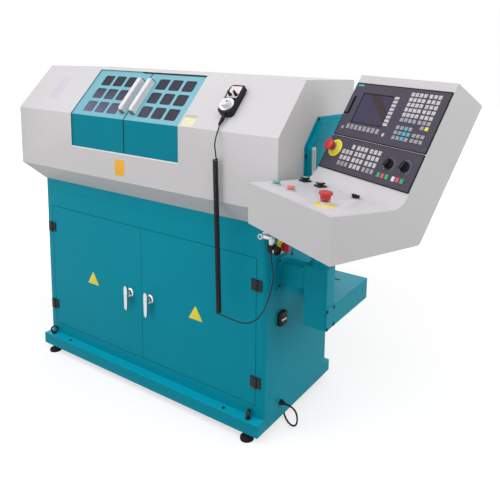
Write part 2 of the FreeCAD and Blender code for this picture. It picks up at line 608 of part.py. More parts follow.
def desk_plate():
    """Overlay that bends up into the knee, with the collars that the controls stand in."""
    t, bend, end = DESK_PLATE_T, 207.9, math.radians(16)
    outer, inner = KNEE_R, KNEE_R - t

    def on_bend(radius, angle):
        return Vector(5, bend + radius * math.sin(angle), KNEE_R - radius * math.cos(angle))

    under = [Part.makeLine(Vector(5, 5, 0), Vector(5, bend, 0)),
             Part.Arc(Vector(5, bend, 0), on_bend(outer, end / 2), on_bend(outer, end)).toShape()]
    over = [Part.makeLine(Vector(5, 5, t), Vector(5, bend, t)),
            Part.Arc(Vector(5, bend, t), on_bend(inner, end / 2), on_bend(inner, end)).toShape()]
    ends = [Part.makeLine(Vector(5, 5, 0), Vector(5, 5, t)),
            Part.makeLine(on_bend(outer, end), on_bend(inner, end))]
    plate = Part.Face(Part.Wire(Part.__sortEdges__(under + over + ends))).extrude(X * (CONSOLE_W - 11))
    collars = [rod(Vector(u, v, 0), Z, 15, 7) for u, v in (GREEN_BUTTON, RED_BUTTON)]
    collars.append(rod(Vector(*ESTOP_DESK, 0), Z, 30, 2.5))
    collars.append(rod(Vector(*ESTOP_DESK, 0), Z, 16, 12))
    collars.append(rod(Vector(*KEY_SWITCH, 1), Z, 15, 4))
    collars += [block((u - 15, u + 15), (v - 15, v + 15), (1, 7)) for u, v in (BLACK_LEFT, BLACK_RIGHT)]
    holes = [rod(Vector(u, v, -2), Z, radius, 20) for u, v, radius in DESK_HOLES]
    overlay = fuse([plate] + collars).cut(Part.makeCompound(holes))
    overlay.translate(Z * 0.02)
    return on_desk(overlay)


def push_button(place, cap, cap_top):
    """A cap above the collar on a stem that reaches through the desk."""
    stem = rod(Vector(*place, -14), Z, STEM_R, 14 + cap_top - 1)
    return on_desk(fuse([stem, cap]))


def round_button(place):
    return push_button(place, rod(Vector(*place, 11), Z, 12.5, 5), 16)


def square_button(place):
    u, v = place
    return push_button(place, block((u - 11, u + 11), (v - 11, v + 11), (11, 16)), 16)


def mushroom(place, base, height, radius):
    """Emergency stop knob: waisted neck and a domed cap, turned in one piece."""
    u, v = place
    profile = [(0, base), (15, base), (15, base + 0.35 * height), (radius * 0.88, base + 0.55 * height),
               (radius, base + 0.66 * height), (radius, base + 0.84 * height),
               (radius * 0.92, base + 0.93 * height), (radius * 0.6, base + height), (0, base + height)]
    wire = Part.makePolygon([Vector(r, 0, z) for r, z in profile + profile[:1]])
    knob = Part.Face(wire).revolve(Vector(0, 0, 0), Z, 360)
    knob.translate(Vector(u, v, 0))
    return knob


def estop_desk():
    stem = rod(Vector(*ESTOP_DESK, -14), Z, STEM_R, 33)
    return on_desk(fuse([stem, mushroom(ESTOP_DESK, 17, 24, 20)]))


def key_switch():
    stem = rod(Vector(*KEY_SWITCH, -14), Z, STEM_R, 22)
    u, v = KEY_SWITCH
    skirt = rod(Vector(u, v, 5.6), Z, 11, 5)
    grip = block((u - 13, u + 13), (v - 4.5, v + 4.5), (8, 22))
    return on_desk(fuse([stem, skirt, grip]))


ESTOP_PANEL = (42.0, 76.0)
OVERRIDES = ((305.0, 67.5), (368.5, 70.5))
SCREEN = ((54.5, 201.5), (176.5, 287.0))


def open_tray(xs, ys, depth):
    """Four walls behind a panel, open to the back."""
    inner = block((xs[0] + 2, xs[1] - 2), (ys[0] + 2, ys[1] - 2), (-depth - 1, 1))
    return block(xs, ys, (-depth, 0)).cut(inner)


def operator_panels():
    """Two panel plates with rear housings, a sunk screen and the stop's collar."""
    low_rear = open_tray((16, PANEL_W - 16), (16, PANEL_LOW_H - 14), 34)
    low = rounded_plate((0, PANEL_W), (0, PANEL_LOW_H), (0, PANEL_T), 3)
    collar = Part.makeCone(26, 24, 8, Vector(*ESTOP_PANEL, PANEL_T), Z)
    neck = rod(Vector(*ESTOP_PANEL, PANEL_T), Z, 16, 11)
    low = fuse([low, low_rear, collar, neck])
    for u, s in OVERRIDES:
        low = low.cut(rod(Vector(u, s, -40), Z, 5.05, 60))
    low = low.cut(rod(Vector(*ESTOP_PANEL, -40), Z, STEM_R + 0.05, 80))
    s0 = PANEL_LOW_H + PANEL_GAP
    s1 = s0 + PANEL_HIGH_H
    high_rear = open_tray((16, PANEL_W - 16), (s0 + 14, s1 - 16), 52)
    high = rounded_plate((0, PANEL_W), (s0, s1), (0, PANEL_T), 3)
    flap = block((4, 26), (206, 270), (PANEL_T, PANEL_T + 4))
    high = fuse([high, high_rear, flap])
    high = high.cut(block(SCREEN[0], SCREEN[1], (PANEL_T - 1.5, PANEL_T + 1)))
    return group([on_panel(low), on_panel(high)])


def key(u, s, width, height, rise=2.0):
    return block((u - width / 2, u + width / 2), (s - height / 2, s + height / 2),
                 (PANEL_T, PANEL_T + rise))


def panel_key_places():
    """Centre and size of every key on both panels, worked out row by row."""
    keypad_columns = [275.0 + 17.2 * i for i in range(4)] + [348.0 + 18.0 * i for i in range(3)]
    places = [(u, 300.5 - 17.4 * row, 13, 13) for row in range(6) for u in keypad_columns]
    places += [(273.3 + 17.6 * i, 187.0 - 17.2 * row, 13, 12) for row in range(3) for i in range(4)]
    places += [(366.0 + 18.2 * i, 197.0, 13, 12) for i in range(2)]
    places += [(348.8 + 17.2 * i, 170.3 - 17.0 * row, 13, 12) for row in range(2) for i in range(3)]
    places += [(54.0 + 20.3 * i, 160.0, 14, 17) for i in range(8)]
    places += [(216.0, 281.0 - 13.3 * i, 19, 10) for i in range(8)]
    places += [(30.0, 153.0, 10, 11), (226.5, 153.5, 10, 11)]
    blocks = ([91.0 + 18.2 * i for i in range(3)] + [152.0 + 18.3 * i for i in range(3)]
              + [213.0 + 18.7 * i for i in range(3)])
    for row in range(4):
        columns = blocks if row else [127.5] + blocks[3:]
        places += [(u, 93.0 - 20.8 * row, 13, 15) for u in columns]
    places += [(282.3 + 17.4 * i, 28.2, 12, 15) for i in range(3)]
    places += [(344.3 + 17.6 * i, 28.2, 12, 15) for i in range(3)]
    return places


def panel_keys():
    return on_panel(group([key(*place) for place in panel_key_places()]))


def estop_panel():
    stem = rod(Vector(*ESTOP_PANEL, -8), Z, STEM_R, 28)
    return on_panel(fuse([stem, mushroom(ESTOP_PANEL, PANEL_T + 15, 22, 20)]))


def override_knob(place):
    """Pointer knob: round skirt with a raised grip that narrows to its pointing end."""
    u, s = place
    stem = rod(Vector(u, s, -8), Z, 5, 18)
    skirt = Part.makeCone(15.5, 14, 6, Vector(u, s, PANEL_T + 0.5), Z)
    grip = prism([Vector(u - 13, s - 5, PANEL_T + 5), Vector(u + 4, s - 7, PANEL_T + 5),
                  Vector(u + 17, s - 2, PANEL_T + 5), Vector(u + 17, s + 2, PANEL_T + 5),
                  Vector(u + 4, s + 7, PANEL_T + 5), Vector(u - 13, s + 5, PANEL_T + 5)], Z * 13)
    grip.rotate(Vector(u, s, 0), Z, 70)
    return on_panel(fuse([stem, skirt, grip]))


# ---- fittings on the right end ----
SWITCH_Y, SWITCH_Z = 92.0, 740.0


def main_switch_plate():
    plate = rounded_plate((-28, 28), (-24, 24), (0, 4), 4)
    ring = rod(Vector(0, 0, 4), Z, 18, 8)
    hole = rod(Vector(0, 0, -1), Z, 6.05, 20)
    base = fuse([plate, ring]).cut(hole)
    base.Placement = Placement(Vector(0, SWITCH_Y, SWITCH_Z), Rotation(Y, 90))
    return base


def main_switch_knob():
    shaft = rod(Vector(0, 0, 1), Z, 6, 16)
    skirt = rod(Vector(0, 0, 12.5), Z, 16, 9)
    grip = block((-16, 16), (-6.5, 6.5), (20, 40))
    knob = fuse([shaft, skirt, grip])
    knob.Placement = Placement(Vector(0, SWITCH_Y, SWITCH_Z), Rotation(Y, 90))
    return knob


def interface_box():
    """Moulded connector housing with a sloping front."""
    box = block((0, 17), (81, 128), (431, 484))
    box = box.makeFillet(7, [e for e in box.Edges if abs(e.Vertexes[0].Point.x - e.Vertexes[-1].Point.x) > 5])
    wedge = prism([Vector(18, 80, 425), Vector(11, 80, 425), Vector(18, 98, 425)], Z * 70)
    return box.cut(wedge)


SOCKET = Vector(-17, 0, 806)
PLUG_X, PLUG_Y = 33.0, -17.0
PLUG_TOP, PLUG_BOTTOM = 784.0, 752.0


def pendant_socket():
    """Die-cast elbow: flange on the front face, arm to the right, mouth facing down."""
    flange = rod(SOCKET + Y * -4, Y, 12, 4)
    boss = rod(SOCKET + Y * -19, Y, 8, 16)
    arm = rod(SOCKET + Y * PLUG_Y, X, 7.5, PLUG_X - SOCKET.x)
    ball = Part.makeSphere(8.5, Vector(PLUG_X, PLUG_Y, SOCKET.z))
    mouth = rod(Vector(PLUG_X, PLUG_Y, PLUG_TOP), Z, 10, SOCKET.z - PLUG_TOP)
    heel = Part.makeSphere(8, Vector(SOCKET.x, PLUG_Y, SOCKET.z))
    hinge = block((PLUG_X + 8, PLUG_X + 22), (PLUG_Y - 3, PLUG_Y + 3), (PLUG_TOP + 2, PLUG_TOP + 7))
    drop = block((PLUG_X + 17, PLUG_X + 22), (PLUG_Y - 3, PLUG_Y + 3), (PLUG_TOP - 8, PLUG_TOP + 7))
    lid_base, lid_way = Vector(PLUG_X + 19, PLUG_Y + 1, PLUG_TOP - 18), Vector(1, -0.45, 0).normalize()
    lid = rod(lid_base, lid_way, 16, 8).cut(rod(lid_base + lid_way * 3, lid_way, 13, 8))
    return fuse([flange, boss, arm, ball, mouth, heel, hinge, drop, lid])


def pendant_plug():
    body = rod(Vector(PLUG_X, PLUG_Y, PLUG_BOTTOM + 8), Z, 15, PLUG_TOP - PLUG_BOTTOM - 8)
    tail = Part.makeCone(6, 13, 8, Vector(PLUG_X, PLUG_Y, PLUG_BOTTOM), Z)
    return fuse([body, tail])


GLAND_Y, GLAND_Z, GLAND_LENGTH = 115.0, 108.0, 22.0


def mains_gland():
    """Hexagon body and tapered nut."""
    hexagon = prism([Vector(0, GLAND_Y + 11 * math.cos(math.radians(60 * i)),
                            GLAND_Z + 11 * math.sin(math.radians(60 * i))) for i in range(6)], X * 9)
    nut = Part.makeCone(9.5, 6, GLAND_LENGTH - 9, Vector(9, GLAND_Y, GLAND_Z), X)
    return fuse([hexagon, nut])


# ---- pendant ----
PENDANT_X, PENDANT_S, PENDANT_H = (-195.5, -137.0), (61.0, 188.0), 30.0
WHEEL, PENDANT_KNOBS = (-164.5, 94.5), ((-172.0, 138.0), (-147.5, 140.0))
LEAD_X, LEAD_N, SLEEVE = -165.5, 14.0, 17.0


def pendant_body():
    """Moulded hand-held box that sits on the slope, with a cable sleeve at its lower end."""
    box = rounded_plate(PENDANT_X, PENDANT_S, (0, PENDANT_H), 17)
    rim = [e for e in box.Edges if all(abs(v.Point.z - PENDANT_H) < 0.01 for v in e.Vertexes)]
    box = box.makeFillet(3, rim)
    bumper = rounded_plate((PENDANT_X[0] + 8, PENDANT_X[1] - 1), (PENDANT_S[1] - 14, PENDANT_S[1] + 3),
                           (4, PENDANT_H - 6), 5)
    sleeve = Part.makeCone(4.5, 8, SLEEVE, Vector(LEAD_X, PENDANT_S[0] - SLEEVE, LEAD_N), Y)
    bores = [rod(Vector(*WHEEL, 8), Z, 6.05, 40)]
    bores += [rod(Vector(*place, 12), Z, 3.55, 40) for place in PENDANT_KNOBS]
    return on_slope(fuse([box, bumper, sleeve]).cut(Part.makeCompound(bores)))


def pendant_handwheel():
    """Flat rim with a tall round hub to hold, and the axle into the body."""
    rim = rod(Vector(*WHEEL, PENDANT_H + 0.8), Z, 28, 4.2)
    groove = rod(Vector(*WHEEL, PENDANT_H + 3.6), Z, 21, 3).cut(rod(Vector(*WHEEL, PENDANT_H), Z, 17, 9))
    hub = Part.makeCone(17, 15.5, 15, Vector(*WHEEL, PENDANT_H + 4), Z)
    axle = rod(Vector(*WHEEL, 10), Z, 6, PENDANT_H - 6)
    dimple = rod(Vector(WHEEL[0] + 8.5, WHEEL[1] + 2, PENDANT_H + 17), Z, 4, 4)
    return on_slope(fuse([rim.cut(groove), hub, axle]).cut(dimple))


def pendant_knob(place):
    """Slim selector: collar, grip and a cap on top that shows its setting."""
    shaft = rod(Vector(*place, 14), Z, 3.5, 20)
    collar = rod(Vector(*place, PENDANT_H + 0.8), Z, 6.5, 3.5)
    stalk = Part.makeCone(5.2, 4.4, 21, Vector(*place, PENDANT_H + 4), Z)
    cap = rod(Vector(*place, PENDANT_H + 25), Z, 4.4, 5)
    flat = block((place[0] + 3.4, place[0] + 6), (place[1] - 6, place[1] + 6), (PENDANT_H + 10, PENDANT_H + 31))
    return on_slope(fuse([shaft, collar, stalk, cap]).cut(flat))


# ---- cords ----
def arc_to(start, tangent, end):
    """Arc that leaves start along the tangent and arrives at end."""
    chord = end - start
    along = chord * (1.0 / chord.Length)
    side = tangent - along * tangent.dot(along)
    if side.Length < 1e-6:
        return Part.LineSegment(start, end).toShape()
    side.normalize()
    half_turn = math.acos(max(-1.0, min(1.0, tangent.dot(along))))
    middle = (start + end) * 0.5 + side * (chord.Length / 2 * math.tan(half_turn / 2))
    return Part.Arc(start, middle, end).toShape()


def biarc(start, t0, end, t1):
    """Two arcs from start to end with the given unit tangents."""
    span, both = end - start, t0 + t1
    spread = 2 * (1 - t0.dot(t1))
    if spread < 1e-9:
        reach = span.dot(span) / (4 * span.dot(t0))
    else:
        reach = (-span.dot(both) + math.sqrt(span.dot(both) ** 2 + spread * span.dot(span))) / spread
    joint = (start + t0 * reach + end - t1 * reach) * 0.5
    first = arc_to(start, t0, joint)
    second = arc_to(end, t1 * -1, joint)
    return [first, second]


def swept(edges, radius, start, direction):
    section = Part.Wire([Part.makeCircle(radius, start, direction)])
    return Part.Wire(Part.__sortEdges__(edges)).makePipeShell([section], True, False)


def routed_tube(name, points, radius):
    """Tube along straight runs joined by arcs as large as the runs allow."""
    edges, radii, start = [], [], points[0]
    for i in range(1, len(points) - 1):
        before, here, after = points[i - 1], points[i], points[i + 1]
        back, ahead = before - here, after - here
        turn = math.pi - back.getAngle(ahead)
        trim = 0.45 * min(back.Length, ahead.Length)
        radii.append(trim / math.tan(turn / 2))
        a, b = here + back.normalize() * trim, here + ahead.normalize() * trim
        edges.append(Part.LineSegment(start, a).toShape())
        edges.append(arc_to(a, (here - a).normalize(), b))
        start = b
    edges.append(Part.LineSegment(start, points[-1]).toShape())
    length = sum(edge.Length for edge in edges)
    tube = swept(edges, radius, points[0], points[1] - points[0])
    print(name, "length", round(length, 1), "radii", [round(r) for r in radii],
          "volume ratio", round(tube.Volume / (math.pi * radius ** 2 * length), 4))
    return tube


def least_gap(points, radius, skip):
    """Smallest gap between stretches of a tube that are further apart than skip points."""
    best = 1e9
    for i in range(0, len(points), 2):
        for j in range(i + skip, len(points), 2):
            best = min(best, points[i].distanceToPoint(points[j]))
    return best - 2 * radius


def wound_tube(name, nodes, radius, tail=None):
    """Tube on biarcs through (point, tangent) nodes, with straight ends; tail is the last one's length."""
    (p0, t0), (p1, t1) = nodes[0], nodes[-1]
    edges = [Part.LineSegment(p0 - t0 * 2 * radius, p0).toShape()]
    for (a, ta), (b, tb) in zip(nodes, nodes[1:]):
        edges += biarc(a, ta, b, tb)
    edges.append(Part.LineSegment(p1, p1 + t1 * (tail or 2 * radius)).toShape())
    samples = []
    for edge in edges[1:-1]:
        samples += edge.discretize(5)[:-1]
    length = sum(edge.Length for edge in edges)
    print(name, "length", round(length, 1), "least gap to itself", round(least_gap(samples, radius, 14), 2))
    return swept(edges, radius, p0 - t0 * 2 * radius, t0)


CURL_WIRE = CORD_R - 0.25
CURL_R = CURL_OUTER_R - CURL_WIRE
LEAD_END = CURL_TOP + Vector(CURL_R, -7.5, 16)


def slope_point(x, s, n):
    return SLOPE_PLACE.multVec(Vector(x, s, n))


def pendant_lead():
    start = slope_point(LEAD_X, PENDANT_S[0] - SLEEVE, LEAD_N)
    route = [start, slope_point(LEAD_X, 24, LEAD_N), slope_point(LEAD_X + 1, 1, 6.5),
             Vector(-161.5, -78, 1158), Vector(-165, -86, 1122), LEAD_END + Z * 8, LEAD_END]
    return routed_tube("pendant_lead", route, CORD_R)


LOOP_START = CURL_END + Vector(17.5, -CURL_R, 0)


def pendant_cord_loop():
    return routed_tube("pendant_cord_loop",
                       [LOOP_START, LOOP_START + X * 20, Vector(-76, -81, 500), Vector(-36, -71, 493),
                        Vector(0, -59, 511), Vector(26, -50, 549), Vector(41, -40, 600),
                        Vector(49, -31, 650), Vector(47, -23, 690), Vector(PLUG_X, PLUG_Y, 721),
                        Vector(PLUG_X, PLUG_Y, PLUG_BOTTOM)], CORD_R)


def pendant_curly_cord():
    """Curls that hang straight down, then leave sideways into the loop."""
    nodes = [(LEAD_END - Z * (2 * CURL_WIRE), Z * -1)]
    quarters = 4 * CURLS - 1
    circle = 2 * math.pi * CURL_R
    pitch = (CURL_TOP.z - CURL_END.z) / CURLS
    for i in range(quarters + 1):
        angle = math.radians(-90 + 90 * (i - quarters))
        centre = CURL_TOP + (CURL_END - CURL_TOP) * (i / quarters)
        out = Vector(math.cos(angle), math.sin(angle), 0)
        tangent = Vector(-math.sin(angle) * circle, math.cos(angle) * circle, -pitch)
        nodes.append((centre + out * CURL_R, tangent.normalize()))
    nodes.append((LOOP_START - X * (2 * CURL_WIRE), X * 1.0))
    return wound_tube("pendant_curly_cord", nodes, CURL_WIRE)


COIL_X, COIL_Y = -130.0, 600.0
COIL_OUTER, COIL_STEP, COIL_LAYER, COIL_LOOPS = 50.0, 8.6, 7.45, 3
COIL_FLOOR = FLOOR_Z + MAINS_R + 0.3
PLUG_TAIL = 26.0


def mains_cord():
    reach, s = 53.0, 31.0
    points = [Vector(GLAND_LENGTH, GLAND_Y, GLAND_Z), Vector(reach, GLAND_Y, GLAND_Z)]
    d = s / math.sqrt(2)
    points.append(Vector(reach + d, GLAND_Y + 1, GLAND_Z - d))
    points.append(Vector(reach + d, GLAND_Y + 5, COIL_FLOOR + d))
    points.append(Vector(reach, GLAND_Y + 9, COIL_FLOOR))
    points += [Vector(14, 141, COIL_FLOOR), Vector(-32, 188, COIL_FLOOR), Vector(-76, 258, COIL_FLOOR),
               Vector(-101, 342, COIL_FLOOR), Vector(-110, 428, COIL_FLOOR), Vector(-98, 502, COIL_FLOOR),
               Vector(COIL_X + COIL_OUTER, 548, COIL_FLOOR),
               Vector(COIL_X + COIL_OUTER, COIL_Y - 2 * MAINS_R, COIL_FLOOR)]
    return routed_tube("mains_cord", points, MAINS_R)


def mains_cord_coil():
    """Two layers: spiral in on the floor, climb half a turn, spiral out on top."""
    half_turns = 2 * COIL_LOOPS
    inner = COIL_OUTER - COIL_LOOPS * COIL_STEP
    stops = [(COIL_OUTER - i * COIL_STEP / 2, 0) for i in range(half_turns + 1)]
    stops += [(inner + i * COIL_STEP / 2, 1) for i in range(half_turns + 1)]
    nodes = []
    for i, (radius, layer) in enumerate(stops):
        side = 1 if i % 2 == 0 else -1
        nodes.append((Vector(COIL_X + side * radius, COIL_Y, COIL_FLOOR + layer * COIL_LAYER), Y * side))
    return wound_tube("mains_cord_coil", nodes, MAINS_R, PLUG_TAIL)


def mains_plug():
    """Round moulded plug lying beside the coil, with its two pins."""
    x = COIL_X - COIL_OUTER
    y, z = COIL_Y - PLUG_TAIL, COIL_FLOOR + COIL_LAYER
    sleeve = Part.makeCone(5.5, 9, 14, Vector(x, y, z), Y * -1)
    body = rod(Vector(x, y - 14, z), Y * -1, z - FLOOR_Z - 0.2, 22)
    pins = [rod(Vector(x + dx, y - 36, z), Y * -1, 2.4, 17) for dx in (-7, 7)]
    return fuse([sleeve, body] + pins)


# ---- assembly ----
PARTS = {
    "cabinet": cabinet(),
    "base_rails": base_rails(),
    "levelling_feet": levelling_feet(),
    "lifting_eyes": lifting_eyes(),
    "cabinet_hinges": cabinet_hinges(),
    "cabinet_door_left": cabinet_door_assembly(-1),
    "cabinet_door_right": cabinet_door_assembly(1),
    "latch_lever_left": latch_lever(-1),
    "latch_lever_right": latch_lever(1),
    "chip_tray": chip_tray(),
    "electrical_panel": electrical_panel(),
    "bed": bed(),
    "headstock": headstock(),
    "spindle_and_chuck": group([spindle(), chuck()]),
    "saddle": saddle(),
    "ball_screw": ball_screw(),
    "cross_slide": cross_slide(),
    "turret_disc": turret_disc(),
    "tailstock": tailstock(),
    "tailstock_quill": tailstock_quill(),
    "hood_shell": hood_shell(),
    "slider_left": slider(-1),
    "slider_right": slider(1),
    "slider_panes_left": slider_panes(-1),
    "slider_panes_right": slider_panes(1),
    "slider_handle_left": slider_handle(-1),
    "slider_handle_right": slider_handle(1),
    "hood_end_cover": hood_end_cover(),
    "support_arm": support_arm(),
    "side_box": side_box(),
    "console_pivot": console_pivot(),
    "console_shell": console_shell(),
    "desk_plate": desk_plate(),
    "button_green": round_button(GREEN_BUTTON),
    "button_red": round_button(RED_BUTTON),
    "button_black_left": square_button(BLACK_LEFT),
    "button_black_right": square_button(BLACK_RIGHT),
    "estop_desk": estop_desk(),
    "key_switch": key_switch(),
    "operator_panels": operator_panels(),
    "panel_keys": panel_keys(),
    "estop_panel": estop_panel(),
    "override_feed": override_knob(OVERRIDES[0]),
    "override_spindle": override_knob(OVERRIDES[1]),
    "main_switch_plate": main_switch_plate(),
    "main_switch_knob": main_switch_knob(),
    "interface_box": interface_box(),
    "pendant_socket": pendant_socket(),
    "pendant_body": pendant_body(),
    "pendant_handwheel": pendant_handwheel(),
    "pendant_knob_left": pendant_knob(PENDANT_KNOBS[0]),
    "pendant_knob_right": pendant_knob(PENDANT_KNOBS[1]),
    "mains_gland": mains_gland(),
    "pendant_plug": pendant_plug(),
    "pendant_lead": pendant_lead(),
    "pendant_curly_cord": pendant_curly_cord(),
    "pendant_cord_loop": pendant_cord_loop(),
    "mains_cord": mains_cord(),
    "mains_cord_coil": mains_cord_coil(),
    "mains_plug": mains_plug(),
}
CORD_PARTS = ("pendant_plug", "pendant_lead", "pendant_curly_cord", "pendant_cord_loop",
              "mains_cord", "mains_cord_coil", "mains_plug")


def bottom_centre():
    """Middle of the machine's box in plan, without its cords."""
    box = FreeCAD.BoundBox()
    for name, shape in PARTS.items():
        if name not in CORD_PARTS:
            box.add(shape.optimalBoundingBox(False, False))
    print("box", [round(v, 2) for v in (box.XMin, box.XMax, box.YMin, box.YMax, box.ZMin, box.ZMax)])
    return Vector((box.XMin + box.XMax) / 2, (box.YMin + box.YMax) / 2, FLOOR_Z)


os.makedirs("parts", exist_ok=True)
origin = bottom_centre()
print("origin", [round(v, 3) for v in origin], "parts", len(PARTS))
for name, shape in PARTS.items():
    moved = shape.copy()
    moved.translate(origin * -1)
    if not moved.isValid():
        print("not valid:", name)
    moved.exportStep("parts/%s.step" % name)
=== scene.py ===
"""Looks of a CNC turning lathe: teal sheet-metal cabinet, off-white hood and console, pendant."""
import bmesh
import bpy
import math
import numpy as np
from mathutils import Matrix, Vector


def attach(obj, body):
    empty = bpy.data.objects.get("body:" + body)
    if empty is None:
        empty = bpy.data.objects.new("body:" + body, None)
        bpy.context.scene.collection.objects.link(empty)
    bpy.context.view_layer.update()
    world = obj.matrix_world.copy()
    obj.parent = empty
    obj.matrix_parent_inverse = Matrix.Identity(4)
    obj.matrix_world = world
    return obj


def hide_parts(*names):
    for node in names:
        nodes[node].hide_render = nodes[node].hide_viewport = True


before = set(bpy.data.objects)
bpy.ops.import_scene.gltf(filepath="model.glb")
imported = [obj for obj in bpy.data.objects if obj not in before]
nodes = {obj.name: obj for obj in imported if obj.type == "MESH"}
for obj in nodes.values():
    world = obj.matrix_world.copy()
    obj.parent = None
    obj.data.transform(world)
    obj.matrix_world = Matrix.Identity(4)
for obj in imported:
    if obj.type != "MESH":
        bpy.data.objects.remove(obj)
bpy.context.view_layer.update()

# ------------------------------------------------------------------------------------------
# Studio. A pale floor runs into a white backdrop under one large soft box above the machine.
# The camera stands in front of the right end, a little above the hood, as in the photograph.
# ------------------------------------------------------------------------------------------
SHIFT = np.array([321.822, -85.312, -15.0])   # from machine millimetres to the row frame


def at(x, y, z):
    """Point of the machine's own frame, in millimetres from its right front corner, in metres."""
    return (np.stack(np.broadcast_arrays(*(np.asarray(v, float) for v in (x, y, z))), -1) + SHIFT) / 1000


def turn(axis, degrees):
    """4 by 4 matrix that turns about an axis through the origin."""
    return np.array(Matrix.Rotation(math.radians(degrees), 4, axis))


camera_data = bpy.data.cameras.new("camera")
camera_data.lens, camera_data.sensor_width = 586.55 / 500 * 36, 36
camera_data.shift_x, camera_data.shift_y = (250 - 272.45) / 500, (130 - 250) / 500
camera = bpy.data.objects.new("camera", camera_data)
bpy.context.scene.collection.objects.link(camera)
pose = turn("Z", 32.96) @ turn("X", -8.66) @ turn("Y", -0.95) @ turn("X", 90)
pose[:3, 3] = at(1088.34, -1651.00, 1481.21)
camera.matrix_world = Matrix(pose.tolist())
bpy.context.scene.camera = camera
bpy.context.scene.view_settings.view_transform = "Standard"


class Wire:
    """One socket of a material; arithmetic on it adds the Math nodes it needs."""

    def __init__(self, tree, socket):
        self.tree, self.socket = tree, socket

    def _math(self, operation, first, second):
        node = self.tree.nodes.new("ShaderNodeMath")
        node.operation = operation
        for socket, value in zip(node.inputs, (first, second)):
            if isinstance(value, Wire):
                self.tree.links.new(value.socket, socket)
            else:
                socket.default_value = value
        return Wire(self.tree, node.outputs[0])

    def __add__(self, other):
        return self._math("ADD", self, other)

    def __sub__(self, other):
        return self._math("SUBTRACT", self, other)

    def __rsub__(self, other):
        return self._math("SUBTRACT", other, self)

    def __mul__(self, other):
        return self._math("MULTIPLY", self, other)

    def __gt__(self, other):
        return self._math("GREATER_THAN", self, other)

    def __lt__(self, other):
        return self._math("LESS_THAN", self, other)

    def abs(self):
        return self._math("ABSOLUTE", self, 0.0)

    def least(self, other):
        return self._math("MINIMUM", self, other)

    def most(self, other):
        return self._math("MAXIMUM", self, other)

    __radd__, __rmul__ = __add__, __mul__


class Finish:
    """A procedural material: node() adds any node, lay() feeds the shader."""

    def __init__(self, name):
        self.material = bpy.data.materials.new(name)
        self.material.use_nodes = True
        self.tree = self.material.node_tree
        self.shader = self.tree.nodes["Principled BSDF"]
        self.place = self.node("ShaderNodeTexCoord", {}, {}, "Object")

    def node(self, kind, settings, inputs, output=0):
        node = self.tree.nodes.new(kind)
        for name, value in settings.items():
            setattr(node, name, value)
        for name, value in inputs.items():
            if isinstance(value, Wire):
                self.tree.links.new(value.socket, node.inputs[name])
            else:
                node.inputs[name].default_value = value
        return Wire(self.tree, node.outputs[output])

    def noise(self, scale, detail=2.0):
        """Cloudy value from 0 to 1 with this many features a metre."""
        return self.node("ShaderNodeTexNoise", {"normalize": True},
                         {"Vector": self.place, "Scale": scale, "Detail": detail, "Roughness": 0.5})

    def mix(self, factor, a, b):
        """Colour a where the factor is 0, b where it is 1."""
        wrap = [c if isinstance(c, Wire) else (*c, 1.0) for c in (a, b)]
        node = self.tree.nodes.new("ShaderNodeMix")
        node.data_type = "RGBA"
        for socket, value in ((node.inputs[0], factor), (node.inputs[6], wrap[0]), (node.inputs[7], wrap[1])):
            if isinstance(value, Wire):
                self.tree.links.new(value.socket, socket)
            else:
                socket.default_value = value
        return Wire(self.tree, node.outputs[2])

    def axes(self):
        """The three Object coordinates as separate values."""
        node = self.tree.nodes.new("ShaderNodeSeparateXYZ")
        self.tree.links.new(self.place.socket, node.inputs[0])
        return [Wire(self.tree, out) for out in node.outputs]

    def lay(self, colour, rough, metal=0.0, bump=None, depth=0.0002, strength=1.0, **fixed):
        feeds = {"Base Color": colour if isinstance(colour, Wire) else (*colour, 1.0),
                 "Roughness": rough, "Metallic": metal}
        feeds.update(fixed)
        if bump is not None:
            feeds["Normal"] = self.node("ShaderNodeBump", {}, {"Strength": strength, "Distance": depth,
                                                               "Height": bump})
        for name, value in feeds.items():
            if isinstance(value, Wire):
                self.tree.links.new(value.socket, self.shader.inputs[name])
            else:
                self.shader.inputs[name].default_value = value
        return self.material


def tint(colour, factor):
    return tuple(min(1.0, c * factor) for c in colour)


def paint_nodes(material, *names):
    """The finish goes on CAD nodes that keep their own shape."""
    for name in names:
        nodes[name].data.materials.clear()
        nodes[name].data.materials.append(material)


world = bpy.data.worlds.new("studio")
world.use_nodes = True
bpy.context.scene.world = world
tree = world.node_tree
rays = tree.nodes.new("ShaderNodeLightPath")
seen = Wire(tree, rays.outputs["Is Camera Ray"]).most(Wire(tree, rays.outputs["Is Transmission Ray"]))
seen = seen.most(Wire(tree, rays.outputs["Is Glossy Ray"]))
around = tree.nodes.new("ShaderNodeTexCoord")
split = tree.nodes.new("ShaderNodeSeparateXYZ")
tree.links.new(around.outputs["Generated"], split.inputs[0])
behind = (Wire(tree, split.outputs[1]) * 1.5).most(Wire(tree, split.outputs[0]) * 0.9).most(0.0).least(1.0)
strength = seen + (1.0 - seen) * (0.26 + 0.62 * behind)
tree.links.new(strength.socket, tree.nodes["Background"].inputs["Strength"])
tree.nodes["Background"].inputs["Color"].default_value = (1, 1, 1, 1)

